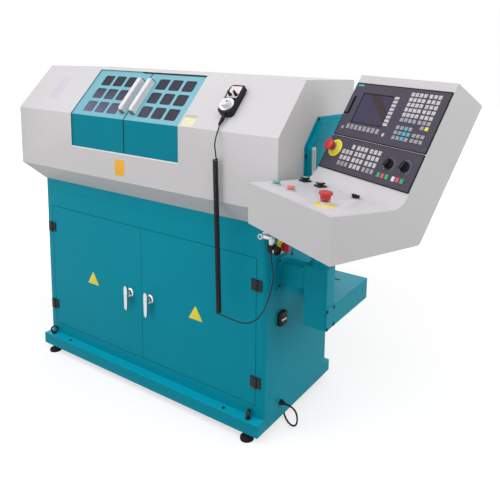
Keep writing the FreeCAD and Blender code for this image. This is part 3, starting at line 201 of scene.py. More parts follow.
LAMPS = {"soft_box_above": ((-400, -1350, 3300), (-400, -50, 1200), (5.0, 2.6), (1.0, 0.975, 1.05), 77.0),
         "soft_box_front": ((-1300, -3000, 1300), (-600, 0, 900), (2.6, 2.2), (1.0, 1.0, 1.0), 19.0),
         "soft_box_right": ((2700, 1100, 2200), (200, 200, 700), (2.0, 2.0), (1.0, 1.0, 1.0), 24.0)}
for name, (place, target, (width, depth), colour, power) in LAMPS.items():
    lamp = bpy.data.lights.new(name, "AREA")
    lamp.shape, lamp.size, lamp.size_y, lamp.energy = "RECTANGLE", width, depth, power
    lamp.color = colour
    holder = bpy.data.objects.new(name, lamp)
    holder.location = at(*place)
    holder.rotation_euler = Vector(at(*target) - at(*place)).to_track_quat("-Z", "Y").to_euler()
    bpy.context.scene.collection.objects.link(holder)

floor_mesh = bpy.data.meshes.new("studio_floor")
floor_mesh.from_pydata([(-9, -5, 0), (9, -5, 0), (9, 12, 0), (-9, 12, 0)], [], [(0, 1, 2, 3)])
floor = bpy.data.objects.new("studio_floor", floor_mesh)
bpy.context.scene.collection.objects.link(floor)
card = Finish("floor_card")
card.lay(card.mix(card.noise(30.0), (0.44, 0.44, 0.44), (0.46, 0.46, 0.46)), 0.9,
         **{"Emission Color": (1, 1, 1, 1), "Specular IOR Level": 0.0})
x, y, z = card.axes()
far = (((x * x + y * y) - 2.2) * 0.12).most(0.0).least(1.0)
direct, mirrored, through = (card.node("ShaderNodeLightPath", {}, {}, "Is %s Ray" % kind)
                             for kind in ("Camera", "Glossy", "Transmission"))
shown = direct.most(mirrored).most(through) * (0.64 + 0.36 * far)
card.tree.links.new(shown.socket, card.shader.inputs["Emission Strength"])
floor_mesh.materials.append(card.material)

# ------------------------------------------------------------------------------------------
# Base rails: two folded steel channels, welded to the cabinet and powder coated with it.
# Each stands on two levelling feet and carries a screwed-in lifting eye near each end.
# ------------------------------------------------------------------------------------------
TEAL = (0.0005, 0.276, 0.362)


def powder_coat(name, colour, rough=0.42, peel=1.0, shine=0.3):
    """Stoved powder: fine orange peel, faint clouds of tone, slightly uneven gloss."""
    coat = Finish(name)
    cloud, fine = coat.noise(2.6, 3.0), coat.noise(420.0, 2.0)
    base = coat.mix(cloud, tint(colour, 0.95), tint(colour, 1.05))
    return coat.lay(base, rough + 0.10 * (coat.noise(60.0, 3.0) - 0.5), bump=fine, depth=0.00012 * peel,
                    strength=0.35, **{"Specular IOR Level": shine})


def folded(node, finish, body, radius=1.2, segments=2, parts=(), moved=None, without=None):
    """Same solid as the CAD node with its sharp edges rounded: copy, merge, bevel. parts are pairs
    of a finish and a test on the faces' middles, in machine millimetres. moved gives the corners
    new places, without tests for the faces of a boss that a finer piece takes over."""
    mesh = nodes[node].data.copy()
    piece = bpy.data.objects.new(node + "_shape", mesh)
    bpy.context.scene.collection.objects.link(piece)
    bm = bmesh.new()
    bm.from_mesh(mesh)
    bmesh.ops.remove_doubles(bm, verts=bm.verts, dist=1e-6)
    bmesh.ops.dissolve_limit(bm, angle_limit=math.radians(1.0), verts=bm.verts, edges=bm.edges)
    if without:
        boss = [f for f in bm.faces if without(np.array(f.calc_center_median()) * 1000 - SHIFT)]
        bmesh.ops.delete(bm, geom=boss, context="FACES")
        bmesh.ops.holes_fill(bm, edges=bm.edges)
    bm.to_mesh(mesh)
    bm.free()
    if moved:
        corners = np.empty(len(mesh.vertices) * 3)
        mesh.vertices.foreach_get("co", corners)
        corners = (moved(corners.reshape(-1, 3) * 1000 - SHIFT) + SHIFT) / 1000
        mesh.vertices.foreach_set("co", corners.ravel())
    mesh.materials.clear()
    mesh.materials.append(finish)
    middles = np.empty(len(mesh.polygons) * 3)
    mesh.polygons.foreach_get("center", middles)
    middles = middles.reshape(-1, 3) * 1000 - SHIFT
    chosen = np.zeros(len(middles), int)
    for number, (other, test) in enumerate(parts, 1):
        mesh.materials.append(other)
        chosen[test(middles)] = number
    mesh.polygons.foreach_set("material_index", chosen)
    mesh.shade_smooth()
    mesh.set_sharp_from_angle(angle=math.radians(35))
    edge = piece.modifiers.new("rounded_edges", "BEVEL")
    edge.width, edge.segments, edge.limit_method = radius / 1000, segments, "ANGLE"
    edge.angle_limit, edge.harden_normals, edge.use_clamp_overlap = math.radians(35), True, True
    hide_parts(node)
    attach(piece, body)
    return piece


teal = powder_coat("teal_powder_coat", TEAL, 0.42, 1.0, 0.08)
# Painted light: the rails' top faces and the side box's top take a teal 1.4 times lighter, standing for the light
# that falls on them from above.
teal_painted_top_light = powder_coat("teal_powder_coat_painted_top_light", tint(TEAL, 1.4), 0.36, 1.0, 0.25)
folded("base_rails", teal, "machine", 2.0, 3, [(teal_painted_top_light, lambda p: abs(p[:, 2] - 94) < 1.5)])


def piece_from(name, points, faces, finish, body, angle=40):
    """A mesh from an array of machine points and a list of faces."""
    mesh = bpy.data.meshes.new(name)
    mesh.from_pydata(at(*points.reshape(-1, 3).T).tolist(), [], faces)
    mesh.materials.append(finish)
    mesh.shade_smooth()
    mesh.set_sharp_from_angle(angle=math.radians(angle))
    piece = bpy.data.objects.new(name, mesh)
    bpy.context.scene.collection.objects.link(piece)
    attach(piece, body)
    return piece


def grid_faces(rows, columns, closed=True, first=0):
    """Quads between neighbouring points of a grid; closed joins the last column to the first."""
    i, j = np.meshgrid(np.arange(rows - 1), np.arange(columns if closed else columns - 1), indexing="ij")
    k = (j + 1) % columns
    quads = np.stack([i * columns + j, i * columns + k, (i + 1) * columns + k, (i + 1) * columns + j], -1)
    return (quads.reshape(-1, 4) + first).tolist()


def turned(profile, frame_matrix, centre, sides=32):
    """Body of revolution: x = radius times cosine, y = radius times sine of the angle, z = height,
    for profile pairs (radius, height) swept about the local z axis."""
    r, h = np.array(profile, float).T
    angle = np.arange(sides) * 2 * np.pi / sides
    points = np.stack([r[:, None] * np.cos(angle), r[:, None] * np.sin(angle),
                       np.broadcast_to(h[:, None], (len(r), sides))], -1) + np.asarray(centre, float)
    return carry(points.reshape(-1, 3), frame_matrix), len(r), sides


def carry(points, frame_matrix):
    """Points of a local frame, in millimetres, as machine points."""
    return points @ frame_matrix[:3, :3].T + frame_matrix[:3, 3]


def local(points, frame_matrix):
    """Machine points in a local frame's coordinates, one row each for x, y and z."""
    return ((points - frame_matrix[:3, 3]) @ frame_matrix[:3, :3]).T


def turned_set(name, items, finish, body, sides=32, angle=40):
    """Several bodies of revolution in one mesh; items are (profile, frame, centre). A profile that
    ends where it starts makes a ring, any other is closed by a flat face at each end."""
    clouds, faces, start = [], [], 0
    for profile, matrix, centre in items:
        points, rows, columns = turned(profile, matrix, centre, sides)
        clouds.append(points)
        faces += grid_faces(rows, columns, True, start)
        if profile[0] != profile[-1]:
            faces.append([start + k for k in range(columns)][::-1])
            faces.append([start + (rows - 1) * columns + k for k in range(columns)])
        start += rows * columns
    return piece_from(name, np.concatenate(clouds), faces, finish, body, angle)


def facing(axis, origin):
    """Local frame whose z points along a machine axis, at a machine point."""
    matrix = {"+Z": np.eye(4), "-Y": turn("X", 90), "+X": turn("Y", 90), "-Z": turn("X", 180)}[axis].copy()
    matrix[:3, 3] = origin
    return matrix


black = Finish("black_zinc")
black_steel = black.lay(black.mix(black.noise(140.0), (0.012, 0.012, 0.014), (0.028, 0.028, 0.030)),
                        0.42 + 0.2 * black.noise(300.0), bump=black.noise(900.0), depth=0.00005,
                        **{"Specular IOR Level": 0.25})
cap = [(0.01, 3.4), (3.4, 3.4), (3.4, 2.2), (5.8, 2.0), (6.6, 1.2), (6.6, -0.5), (0.01, -0.5)][::-1]
turned_set("rail_screws", [(cap, facing("+Z", (x, -22, 94)), (0, 0, 0)) for x in (-1062, -170)],
           black_steel, "machine", 20)
paint_nodes(black_steel, "lifting_eyes", "cabinet_hinges")

rubber = Finish("black_rubber")
black_rubber = rubber.lay(rubber.mix(rubber.noise(90.0), (0.010, 0.010, 0.011), (0.022, 0.022, 0.023)),
                          0.62 + 0.2 * rubber.noise(200.0), bump=rubber.noise(700.0), depth=0.0001,
                          **{"Specular IOR Level": 0.12})
paint_nodes(black_rubber, "levelling_feet")

# ------------------------------------------------------------------------------------------
# Cabinet: welded sheet with soft upright corners, a wide doorway and a centre post.
# The electrical panel hangs on its back wall.
# ------------------------------------------------------------------------------------------


def gap_painted_shade(points):
    """Walls of the doorway and face of the centre post, seen through the gaps round the doors: painted black as
    the shade in those gaps.
    """
    x, y, z = points.T
    side = (np.minimum(abs(x + 1186.5), abs(x + 39.0)) < 0.3) & (z > 140) & (z < 715)
    level = (np.minimum(abs(z - 141.0), abs(z - 714.0)) < 0.3) & (x > -1187) & (x < -38.5)
    post = (abs(x + 618) < 23) & (abs(y - 20) < 0.3)
    return (side | level) & (y > 0.2) & (y < 26) | post


# Black rubber on the doorway's walls and the post's face is painted shade in the gaps round the doors.
folded("cabinet", teal, "machine", 1.0, 2, [(black_rubber, gap_painted_shade)])
zinc = Finish("zinc_plate")
grey_zinc = zinc.lay(zinc.mix(zinc.noise(25.0, 4.0), (0.40, 0.41, 0.42), (0.56, 0.56, 0.55)), 0.45, 0.6,
                     zinc.noise(300.0), 0.00005)
paint_nodes(grey_zinc, "electrical_panel")

# ------------------------------------------------------------------------------------------
# Cabinet doors: folded pans in the same coat, with black screwed hinges.
# Each has a chromed drop handle and a bare yellow plate.
# ------------------------------------------------------------------------------------------
DOORS = {"left": ("door_left", -682.0, -1188.5, -917.0), "right": ("door_right", -567.0, -37.0, -326.0)}
chrome = Finish("chrome_plate")
chromed = chrome.lay(chrome.mix(chrome.noise(60.0), (0.62, 0.63, 0.65), (0.74, 0.75, 0.76)),
                     0.12 + 0.12 * chrome.noise(500.0, 3.0), 1.0, chrome.noise(800.0), 0.00003)
yellow = Finish("yellow_foil")
yellow_foil = yellow.lay(yellow.mix(yellow.noise(80.0), (0.80, 0.66, 0.02), (0.90, 0.76, 0.05)),
                         0.35 + 0.1 * yellow.noise(40.0))


def rounded_outline(corners, radius, steps=5):
    """Outline with its corners rounded: quadratic arcs between points one radius from each."""
    corners = np.array(corners, float)
    x, y = corners.T
    if x @ np.roll(y, -1) < y @ np.roll(x, -1):
        corners = corners[::-1]
    t = np.linspace(0, 1, steps)[:, None]
    arcs = []
    for before, here, after in zip(np.roll(corners, 1, 0), corners, np.roll(corners, -1, 0)):
        a = here + (before - here) / np.linalg.norm(before - here) * radius
        b = here + (after - here) / np.linalg.norm(after - here) * radius
        arcs.append((1 - t) ** 2 * a + 2 * t * (1 - t) * here + t ** 2 * b)
    return np.concatenate(arcs)


def plate(name, corners, matrix, finish, body, radius=3, thick=0.5, base=0.0):
    """Thin plate with rounded corners and a softened rim, on the xy plane of a local frame."""
    outline = rounded_outline(corners, radius)
    middle = outline.mean(0)
    levels = [(1.0, 0.0), (1.0, thick * 0.7), (0.985, thick)]
    rings = [np.column_stack([middle + (outline - middle) * s, np.full(len(outline), base + h)])
             for s, h in levels]
    count = len(outline)
    faces = grid_faces(3, count)
    faces += [list(range(count))[::-1], [2 * count + k for k in range(count)]]
    return piece_from(name, carry(np.concatenate(rings), matrix), faces, finish, body)


for side, (body, latch_x, hinge_x, sign_x) in DOORS.items():
    folded("cabinet_door_" + side, teal, body, 1.0, 2,
           [(black_steel, lambda p: (abs(p[:, 0] - hinge_x) < 27) & (p[:, 1] < -0.6)),
            (chromed, lambda p: (abs(p[:, 0] - latch_x) < 22) & (p[:, 1] < -0.3))])
    folded("latch_lever_" + side, chromed, "latch_" + side, 2.0, 3)
    triangle = [(sign_x - 35.5, 397), (sign_x + 35.5, 397), (sign_x, 455)]
    plate("sign_plate_" + side, triangle, facing("-Y", (0, 0, 0)), yellow_foil, body, 6)

# ------------------------------------------------------------------------------------------
# Chip tray: folded sheet in the same coat, welded to the cabinet's top.
# Its band shows between the cabinet and the hood's drawn-in foot.
# ------------------------------------------------------------------------------------------
folded("chip_tray", teal, "machine", 1.0, 2)

# ------------------------------------------------------------------------------------------
# Working area: cast bed and slides, ground spindle parts, turret and tailstock.
# ------------------------------------------------------------------------------------------
iron = Finish("cast_iron_grey")
grey_iron = iron.lay(iron.mix(iron.noise(40.0, 4.0), (0.20, 0.21, 0.22), (0.30, 0.31, 0.32)),
                     0.5 + 0.2 * iron.noise(120.0), 0.3, iron.noise(260.0, 3.0), 0.0004)
paint_nodes(grey_iron, "bed", "headstock", "saddle", "cross_slide", "tailstock")
steel = Finish("ground_steel")
bright_steel = steel.lay(steel.mix(steel.noise(60.0, 4.0), (0.50, 0.50, 0.50), (0.64, 0.64, 0.63)),
                         0.22 + 0.2 * steel.noise(400.0, 3.0), 1.0, steel.noise(600.0), 0.00004)
paint_nodes(bright_steel, "spindle_and_chuck", "ball_screw", "turret_disc", "tailstock_quill")

# ------------------------------------------------------------------------------------------
# Hood: off-white sheet housing on the tray, drawn in at its foot, with a bent doorway.
# Bare foils are stuck on its front and its slope.
# ------------------------------------------------------------------------------------------
OFF_WHITE = (0.60, 0.592, 0.584)
white_coat = powder_coat("off_white_powder_coat", OFF_WHITE, 0.48)
folded("hood_shell", white_coat, "machine", 1.4, 3)
SLOPE = turn("X", math.degrees(math.atan2(1349.0 - 1167.0, 117.0 + 60.0)))
SLOPE[:3, 3] = (0, -60, 1167)


def rectangle(x0, x1, y0, y1):
    return [(x0, y0), (x1, y0), (x1, y1), (x0, y1)]


def plain_foil(name, colour, rough=0.4):
    """Bare self-adhesive foil: faint mottling, satin."""
    foil = Finish(name)
    return foil.lay(foil.mix(foil.noise(90.0), tint(colour, 0.94), tint(colour, 1.05)),
                    rough + 0.1 * foil.noise(50.0), bump=foil.noise(400.0), depth=0.00003)


orange_foil = plain_foil("orange_foil", (0.86, 0.44, 0.008))
cream_foil = plain_foil("cream_foil", (0.74, 0.70, 0.45))
tan_foil = plain_foil("tan_foil", (0.50, 0.46, 0.40))
lilac_foil = plain_foil("lilac_foil", (0.55, 0.53, 0.585))
plate("front_plate", rectangle(-695, -641, 938, 1002), facing("-Y", (0, -60, 0)), orange_foil, "machine",
      3, 0.4)
plate("slope_plate_low", rectangle(-347, -291, 3, 42), SLOPE, cream_foil, "machine", 2, 0.4)
plate("slope_plate_high", rectangle(-349, -292, 43, 56), SLOPE, tan_foil, "machine", 2, 0.4)
plate("slope_plate_left", rectangle(-1160, -1108, 64, 190), SLOPE, lilac_foil, "machine", 3, 0.3)

# ------------------------------------------------------------------------------------------
# Sliding doors: bent teal sheets behind the hood's skin, nine dark panes in each, and a
# white moulded pull along the slope.
# ------------------------------------------------------------------------------------------
glass = Finish("smoked_pane_painted_reflection")
x, y, z = glass.axes()
# Painted reflection: the panes grow paler and bluer towards the lower left, standing for the bright surroundings
# they mirror.
pane_painted_reflection = ((1.27 - z) * 8).most(0.0).least(1.0) * ((-0.12 - x) * 2.2).most(0.0).least(1.0)
pane_painted_reflection = pane_painted_reflection * (0.45 + 0.55 * glass.noise(26.0, 3.0))
smoked = glass.lay(glass.mix(pane_painted_reflection, (0.022, 0.022, 0.036), (0.23, 0.23, 0.35)),
                   0.22 + 0.1 * glass.noise(200.0), 0.0, glass.noise(20.0), 0.0004,
                   **{"Specular IOR Level": 0.15})
moulded = Finish("white_moulded_plastic")
white_plastic = moulded.lay(moulded.mix(moulded.noise(70.0), (0.68, 0.67, 0.66), (0.74, 0.73, 0.72)),
                            0.45 + 0.15 * moulded.noise(300.0), bump=moulded.noise(1200.0), depth=0.00006)
# The pulls' end faces are a dark teal-grey.
handle_end_finish = Finish("slider_handle_dark_ends")
handle_end_dark = handle_end_finish.lay(handle_end_finish.mix(handle_end_finish.noise(70.0), (0.10, 0.13, 0.14), (0.14, 0.17, 0.18)), 0.5)
# Painted highlight: a near-white strip on the hood's front under the sliding doors stands for the lit top of the
# sill.
sill_painted_highlight = plain_foil("sill_edge_painted_highlight", (0.93, 0.92, 0.93))
plate("sill_painted_highlight_strip", rectangle(-956.5, -357.5, 1024.8, 1028.9), facing("-Y", (0, -60, 0)), sill_painted_highlight, "machine",
      0.5, 0.5)
# Black strips along the split between the sliding doors, on the front and on the slope: painted shade in the gap.
plate("painted_split_shade_front", rectangle(-647, -643.6, 1030, 1164), facing("-Y", (0, -55, 0)), black_rubber,
      "sliding_door_right", 0.5, 0.6)
plate("painted_split_shade_slope", rectangle(-647, -643.6, 3, 240), SLOPE, black_rubber, "sliding_door_right",
      0.5, 0.6, -5.0)
# Black strip along the top of the opening on the slope: painted shade in the gap above the sliding doors.
plate("opening_top_painted_shade", rectangle(-700, -358, 243.4, 246.8), SLOPE, black_rubber, "machine",
      0.5, 4.0, -4.9)
# The sliding doors get a shaded and a lit copy of the teal: painted shade darkens them to 0.8 of the cabinet's
# teal, and their faces on the slope take a paler, glossier teal as a painted sheen.
sliding_coat_painted_shade = powder_coat("teal_sliding_door_painted_shade_coat", tint(TEAL, 0.80), 0.42, 1.0, 0.08)
slope_painted_sheen = powder_coat("teal_sliding_door_slope_painted_sheen", (0.15, 0.41, 0.48), 0.30, 1.0, 0.5)


SPLIT, FIRST_COLUMNS, COLUMN_PITCH, FIRST_ROW, ROW_PITCH = -648, (-874.0, -557.0), 70, 50, 70.5


def wider_windows(points):
    """Window edges drawn out a little about the middle of their own window."""
    x, s, n = local(points, SLOPE)
    first = np.where(x < SPLIT, *FIRST_COLUMNS)
    middle = first + COLUMN_PITCH * np.clip(np.round((x - first) / COLUMN_PITCH), 0, 2)
    row = FIRST_ROW + ROW_PITCH * np.clip(np.round((s - FIRST_ROW) / ROW_PITCH), 0, 2)
    edge = (abs(x - middle) < 26.5) & (abs(s - row) < 27) & (n > -9) & (n < -4)
    x = np.where(edge, middle - 1.5 + (x - middle) * 1.09, x)
    s = np.where(edge, row + (s - row) * 1.04, s)
    return carry(np.stack([x, s, n], -1), SLOPE)


def on_the_slope(points):
    x, s, n = local(points, SLOPE)
    return (s > 1) & (n > -6)


for side in ("left", "right"):
    folded("slider_" + side, sliding_coat_painted_shade, "sliding_door_" + side, 1.0, 2,
           [(slope_painted_sheen, on_the_slope)], moved=wider_windows)
    paint_nodes(smoked, "slider_panes_" + side)
    folded("slider_handle_" + side, white_plastic, "sliding_door_" + side, 2.0, 3,
           [(handle_end_dark, lambda p: abs(local(p, SLOPE)[1] - 116.25) > 81.3)])

# ------------------------------------------------------------------------------------------
# Teal cover on the hood's right end, arm, post and box on the cabinet's right end.
# ------------------------------------------------------------------------------------------
folded("hood_end_cover", teal, "machine", 2.6, 3,
       without=lambda p: p[0] > 99.2 and 171 < p[1] < 183 and 1005 < p[2] < 1103)
level_glass = plain_foil("level_gauge_glass", (0.30, 0.42, 0.43), 0.2)
plate("level_gauge", rectangle(-1111, -1014, 132, 156), facing("+X", (99, 0, 0)), grey_zinc, "machine",
      4, 4.0)
plate("level_gauge_window", rectangle(-1102, -1023, 139, 149), facing("+X", (103, 0, 0)), level_glass,
      "machine", 4, 0.6)
folded("support_arm", teal, "machine", 1.2, 2)
# The box's top face takes the lighter teal: painted light from above.
folded("side_box", teal, "machine", 1.2, 2, [(teal_painted_top_light, lambda p: abs(p[:, 2] - 549) < 0.5)])
big = [(y, z) for y in (80, 165) for z in (690, 593)]
arm_screws = [(cap, facing("+X", (8, y, z)), (0, 0, 0)) for y, z in big]
box_screws = [(cap, facing("+X", (200.5, y, z)), (0, 0, 0)) for y in (94, 145) for z in (473, 538)]
cover_screws = [(cap, facing("+X", (83, y, z)), (0, 0, 0)) for y, z in ((208, 1203), (118, 1080))]
turned_set("right_end_screws", arm_screws + box_screws + cover_screws, black_steel, "machine", 20)
plate("side_box_slot", rectangle(92, 120, 346, 358), facing("+Z", (0, 0, 549)), black_steel, "machine",
      1, 0.3)

# ------------------------------------------------------------------------------------------
# Console: off-white folded housing on a teal swivel pivot. Its desk plate is covered with
# foil and fixed by four screws.
# ------------------------------------------------------------------------------------------
folded("console_shell", white_coat, "console", 1.6, 3)
folded("console_pivot", teal, "console", 1.2, 2)
foil = Finish("desk_foil")
desk_foil = foil.lay(foil.mix(foil.noise(6.0), (0.60, 0.59, 0.60), (0.64, 0.63, 0.64)), 0.36)


def tilted(frame_matrix, origin, degrees):
    """Frame of a face on the console: an origin and a lean about its x axis."""
    shift = np.eye(4)
    shift[:3, 3] = origin
    return frame_matrix @ shift @ turn("X", degrees)


CONSOLE = tilted(np.eye(4), (43.2, -173.7, 0), 0) @ turn("Z", -24.7)
DESK, PANEL = tilted(CONSOLE, (0, 0, 1037), -3.84), tilted(CONSOLE, (2, 274.1, 1062.5), 59.8)
ROUND = ((61.0, 65.5), (142.7, 65.5), (284.0, 200.0))
SQUARE = ((37.5, 193.5), (118.5, 195.0))
STOP = (317.0, 61.5)


def near(places, reach, frame_matrix, low, high=99.0):
    """Test for faces of a piece that lie within a reach of some places on a face and above it."""
    def test(points):
        u, v, n = local(points, frame_matrix)
        close = np.min([np.hypot(u - a, v - b) for a, b in places], 0) < reach
        return close & (n > low) & (n < high)
    return test


collar = Finish("silver_collar")
silver_collar = collar.lay(collar.mix(collar.noise(80.0), (0.50, 0.50, 0.51), (0.58, 0.58, 0.59)), 0.35, 0.3)
folded("desk_plate", desk_foil, "console", 0.5, 2,
       [(silver_collar, near(ROUND, 15.6, DESK, 1.7)), (black_steel, near(SQUARE, 22, DESK, 1.7)),
        (yellow_foil, near([STOP], 31, DESK, 1.7)), (silver_collar, near([STOP], 16.5, DESK, 2.8))])
screw = [(0.01, 0.0), (4.2, 0.0), (4.2, 0.5), (3.4, 1.2), (0.01, 1.3)]
turned_set("desk_screws", [(screw, DESK, (u, v, n)) for u, v, n in
                           ((22.7, 10.3, 1.4), (409.0, 9.0, 1.4), (395.4, 214.0, 1.7), (192.5, 215.0, 1.8))],
           silver_collar, "console", 16)

# ------------------------------------------------------------------------------------------
# Operator panels: dark grey foil on aluminium, with a sunk screen, moulded keys and a yellow
# disc under the emergency stop.
# ------------------------------------------------------------------------------------------


def panel_axes(finish):
    """Distance across and up the panels' face, in millimetres, from the Object coordinates."""
    corner = carry(np.zeros((1, 3)), PANEL)[0] + SHIFT
    ways = [PANEL[:3, 0], PANEL[:3, 1]]
    return [sum(float(a) * 1000 * w for a, w in zip(way, finish.axes())) - float(way @ corner) for way in ways]


def within(value, low, high):
    return (value > low) * (value < high)


slate = Finish("slate_foil")
across, upward = panel_axes(slate)
rim = ((across - 210).abs() > 206.8).most(within(upward, 117.5, 125.5)).most(upward > 319.2).most(upward < 3.2)
# Painted shadow: near-black strips along the right side and the foot of the raised flap beside the screen stand
# for the shadow it casts.
flap_painted_shadow = within(across, 21.0, 27.0) * within(upward, 204.0, 271.0)
flap_painted_shadow = flap_painted_shadow.most(within(across, 3.0, 27.0) * within(upward, 204.0, 208.5))
slate_tone = slate.mix(slate.noise(30.0), (0.064, 0.059, 0.080), (0.080, 0.074, 0.098))
slate_foil = slate.lay(slate.mix(rim.most(flap_painted_shadow), slate_tone, (0.005, 0.005, 0.006)),
                       0.50 + 0.1 * slate.noise(500.0), bump=slate.noise(1500.0), depth=0.00004,
                       **{"Specular IOR Level": 0.12})
glow = Finish("dark_screen")
across, upward = panel_axes(glow)
reach = (upward - 285) + 0.86 * (across - 78)
band = within(reach, 9.0, 49.0)
# A near-black border all round the screen: the bezel's own black, with the shade of the sunk screen's walls
# painted into it.
edge = ((across - 128).abs() > 70.0).most((upward - 231.75).abs() > 52.0)
screen_tone = glow.mix(band, (0.055, 0.048, 0.086), (0.050, 0.038, 0.036))
dark_screen = glow.lay(glow.mix(edge, screen_tone, (0.004, 0.004, 0.005)), 0.25 + 0.05 * glow.noise(30.0),
                       **{"Specular IOR Level": 0.1})
yellow_stop = plain_foil("yellow_stop_plastic", (0.82, 0.72, 0.03), 0.35)
cloudy = Finish("clear_neck")
clear_neck = cloudy.lay(cloudy.mix(cloudy.noise(60.0), (0.42, 0.43, 0.40), (0.52, 0.53, 0.50)), 0.3)
STOP_HIGH, OVERRIDES = (42.0, 76.0), ((305.0, 67.5), (368.5, 70.5))


def screen_face(points):
    u, s, n = local(points, PANEL)
    return (abs(u - 128) < 74) & (abs(s - 231.75) < 55.5) & (n < 1.7) & (n > 1.2)


folded("operator_panels", slate_foil, "console", 0.6, 2,
       [(dark_screen, screen_face), (yellow_stop, near([STOP_HIGH], 27, PANEL, 3.1)),
        (clear_neck, near([STOP_HIGH], 17, PANEL, 11.2))])
ring = [(24, 0.0), (30.5, 0.0), (30.5, 1.2), (29.5, 2.0), (24, 2.0)]
turned_set("panel_stop_disc", [([(0.01, 0.0)] + ring[1:4] + [(0.01, 2.0)], PANEL, (*STOP_HIGH, 3.0))], yellow_stop,
           "console", 48)


def keys_finish(name, colour, worn=0.3):
    """Moulded key: small dark flecks stand for the wear on its top."""
    key = Finish(name)
    fleck = (key.noise(330.0, 2.0) > 0.60) * worn
    return key.lay(key.mix(fleck, key.mix(key.noise(40.0), tint(colour, 0.92), tint(colour, 1.06)),
                           tint(colour, 0.25)), 0.45)


def key_at(*places):
    return near(places, 8.5, PANEL, 3.0)


light_key = keys_finish("light_key", (0.56, 0.55, 0.56), 0.8)
grey_key = keys_finish("grey_key", (0.34, 0.33, 0.35), 0.7)
cyan_key = keys_finish("cyan_key", (0.10, 0.42, 0.50), 0.5)
yellow_key = keys_finish("yellow_key", (0.78, 0.72, 0.03), 0.1)
green_key = keys_finish("green_key", (0.008, 0.40, 0.10), 0.1)
red_key = keys_finish("red_key", (0.70, 0.07, 0.09), 0.1)
white_key = keys_finish("white_key", (0.72, 0.71, 0.72), 0.2)


def grey_rows(points):
    u, s, n = local(points, PANEL)
    number_block = (abs(s - 213.5) < 8) & (u > 265)
    soft_keys = (abs(s - 160) < 10) & (u < 206)
    side_keys = (abs(s - 170.3) < 8) & (u > 340) | (abs(s - 153.3) < 8) & (u > 340)
    arrows = (s > 144) & (s < 196) & (u > 265) & (u < 340)
    low_rows = (s < 39) & ((u < 135) | (u > 204)) & (u < 262)
    return number_block | soft_keys | side_keys | arrows | low_rows | (abs(s - 197) < 8) & (abs(u - 366) < 9)


folded("panel_keys", light_key, "console", 0.5, 2,
       [(grey_key, grey_rows),
        (cyan_key, key_at((308.5, 187), (290.9, 169.8), (308.5, 169.8), (326.1, 169.8), (308.5, 152.6))),
        (yellow_key, key_at((384.2, 197))), (green_key, key_at((282.3, 28.2), (317.1, 28.2), (379.5, 28.2))),
        (red_key, key_at((299.7, 28.2), (361.9, 28.2))), (white_key, key_at((344.3, 28.2)))])


def flat_tiles(name, centres, headings, size, matrix, base, thick, finish, body):
    """Small flat tiles: each is a box of one size at a centre, turned by its own heading."""
    sx, sy = size[0] / 2, size[1] / 2
    corner = np.array([(-sx, -sy), (sx, -sy), (sx, sy), (-sx, sy)])
    c, s = np.cos(headings)[:, None], np.sin(headings)[:, None]
    flat = np.stack([centres[:, :1] + corner[:, 0] * c - corner[:, 1] * s,
                     centres[:, 1:] + corner[:, 0] * s + corner[:, 1] * c], -1)
    points = np.concatenate([np.concatenate([flat, np.full((*flat.shape[:2], 1), base + h)], -1)
                             for h in (0, thick)], 1)
    box = np.array([(3, 2, 1, 0), (4, 5, 6, 7), (0, 1, 5, 4), (1, 2, 6, 5), (2, 3, 7, 6), (3, 0, 4, 7)])
    faces = (box[None] + 8 * np.arange(len(centres))[:, None, None]).reshape(-1, 4).tolist()
    return piece_from(name, carry(points.reshape(-1, 3), matrix), faces, finish, body)


dial = np.radians(np.linspace(-50, 230, 15))
spots = np.concatenate([np.column_stack([u + 22 * np.cos(dial), s + 22 * np.sin(dial)]) for u, s in OVERRIDES])
flat_tiles("override_scales", spots, np.tile(dial, 2), (3.0, 1.0), PANEL, 3.0, 0.2, white_key, "console")
plate("panel_badge", rectangle(9, 40, 310, 316), PANEL, cyan_key, "console", 1.5, 0.3, 3.0)

# ------------------------------------------------------------------------------------------
# Controls: push buttons, emergency stops, key switch and override knobs, moulded in plastic
# and screwed from behind into the desk and the panels.
# ------------------------------------------------------------------------------------------
red = Finish("red_plastic")
red_plastic = red.lay(red.mix(red.noise(60.0), (0.44, 0.014, 0.016), (0.54, 0.024, 0.026)),
                      0.3 + 0.15 * red.noise(300.0), bump=red.noise(900.0), depth=0.00004)
green = Finish("green_plastic")
green_plastic = green.lay(green.mix(green.noise(60.0), (0.10, 0.42, 0.30), (0.14, 0.50, 0.36)), 0.35)
dark = Finish("black_plastic")
black_plastic = dark.lay(dark.mix(dark.noise(120.0), (0.012, 0.012, 0.014), (0.024, 0.024, 0.027)),
                         0.36 + 0.15 * dark.noise(300.0), bump=dark.noise(1100.0), depth=0.00006,
                        **{"Specular IOR Level": 0.12})
salmon = Finish("salmon_plastic")
salmon_plastic = salmon.lay(salmon.mix(salmon.noise(60.0), (0.76, 0.16, 0.12), (0.84, 0.21, 0.16)), 0.35)
mint = Finish("mint_lens")
mint_lens = mint.lay(mint.mix(mint.noise(60.0), (0.28, 0.50, 0.43), (0.34, 0.56, 0.48)), 0.3)
pink = Finish("pink_lens")
pink_lens = pink.lay(pink.mix(pink.noise(60.0), (0.58, 0.40, 0.41), (0.66, 0.46, 0.47)), 0.3)
folded("button_red", salmon_plastic, "push_red", 0.8, 2)
folded("button_green", green_plastic, "push_green", 0.8, 2)
for node, body, lens, place in (("button_black_left", "push_black_left", mint_lens, SQUARE[0]),
                                ("button_black_right", "push_black_right", pink_lens, SQUARE[1])):
    folded(node, black_plastic, body, 0.8, 2)
    u, v = place
    plate(node + "_lens", rectangle(u - 8.5, u + 8.5, v - 8.5, v + 8.5), DESK, lens, body,
          2, 1.2, 16.0)
folded("estop_desk", red_plastic, "stop_desk", 0.8, 2)
folded("estop_panel", red_plastic, "stop_panel", 0.8, 2)


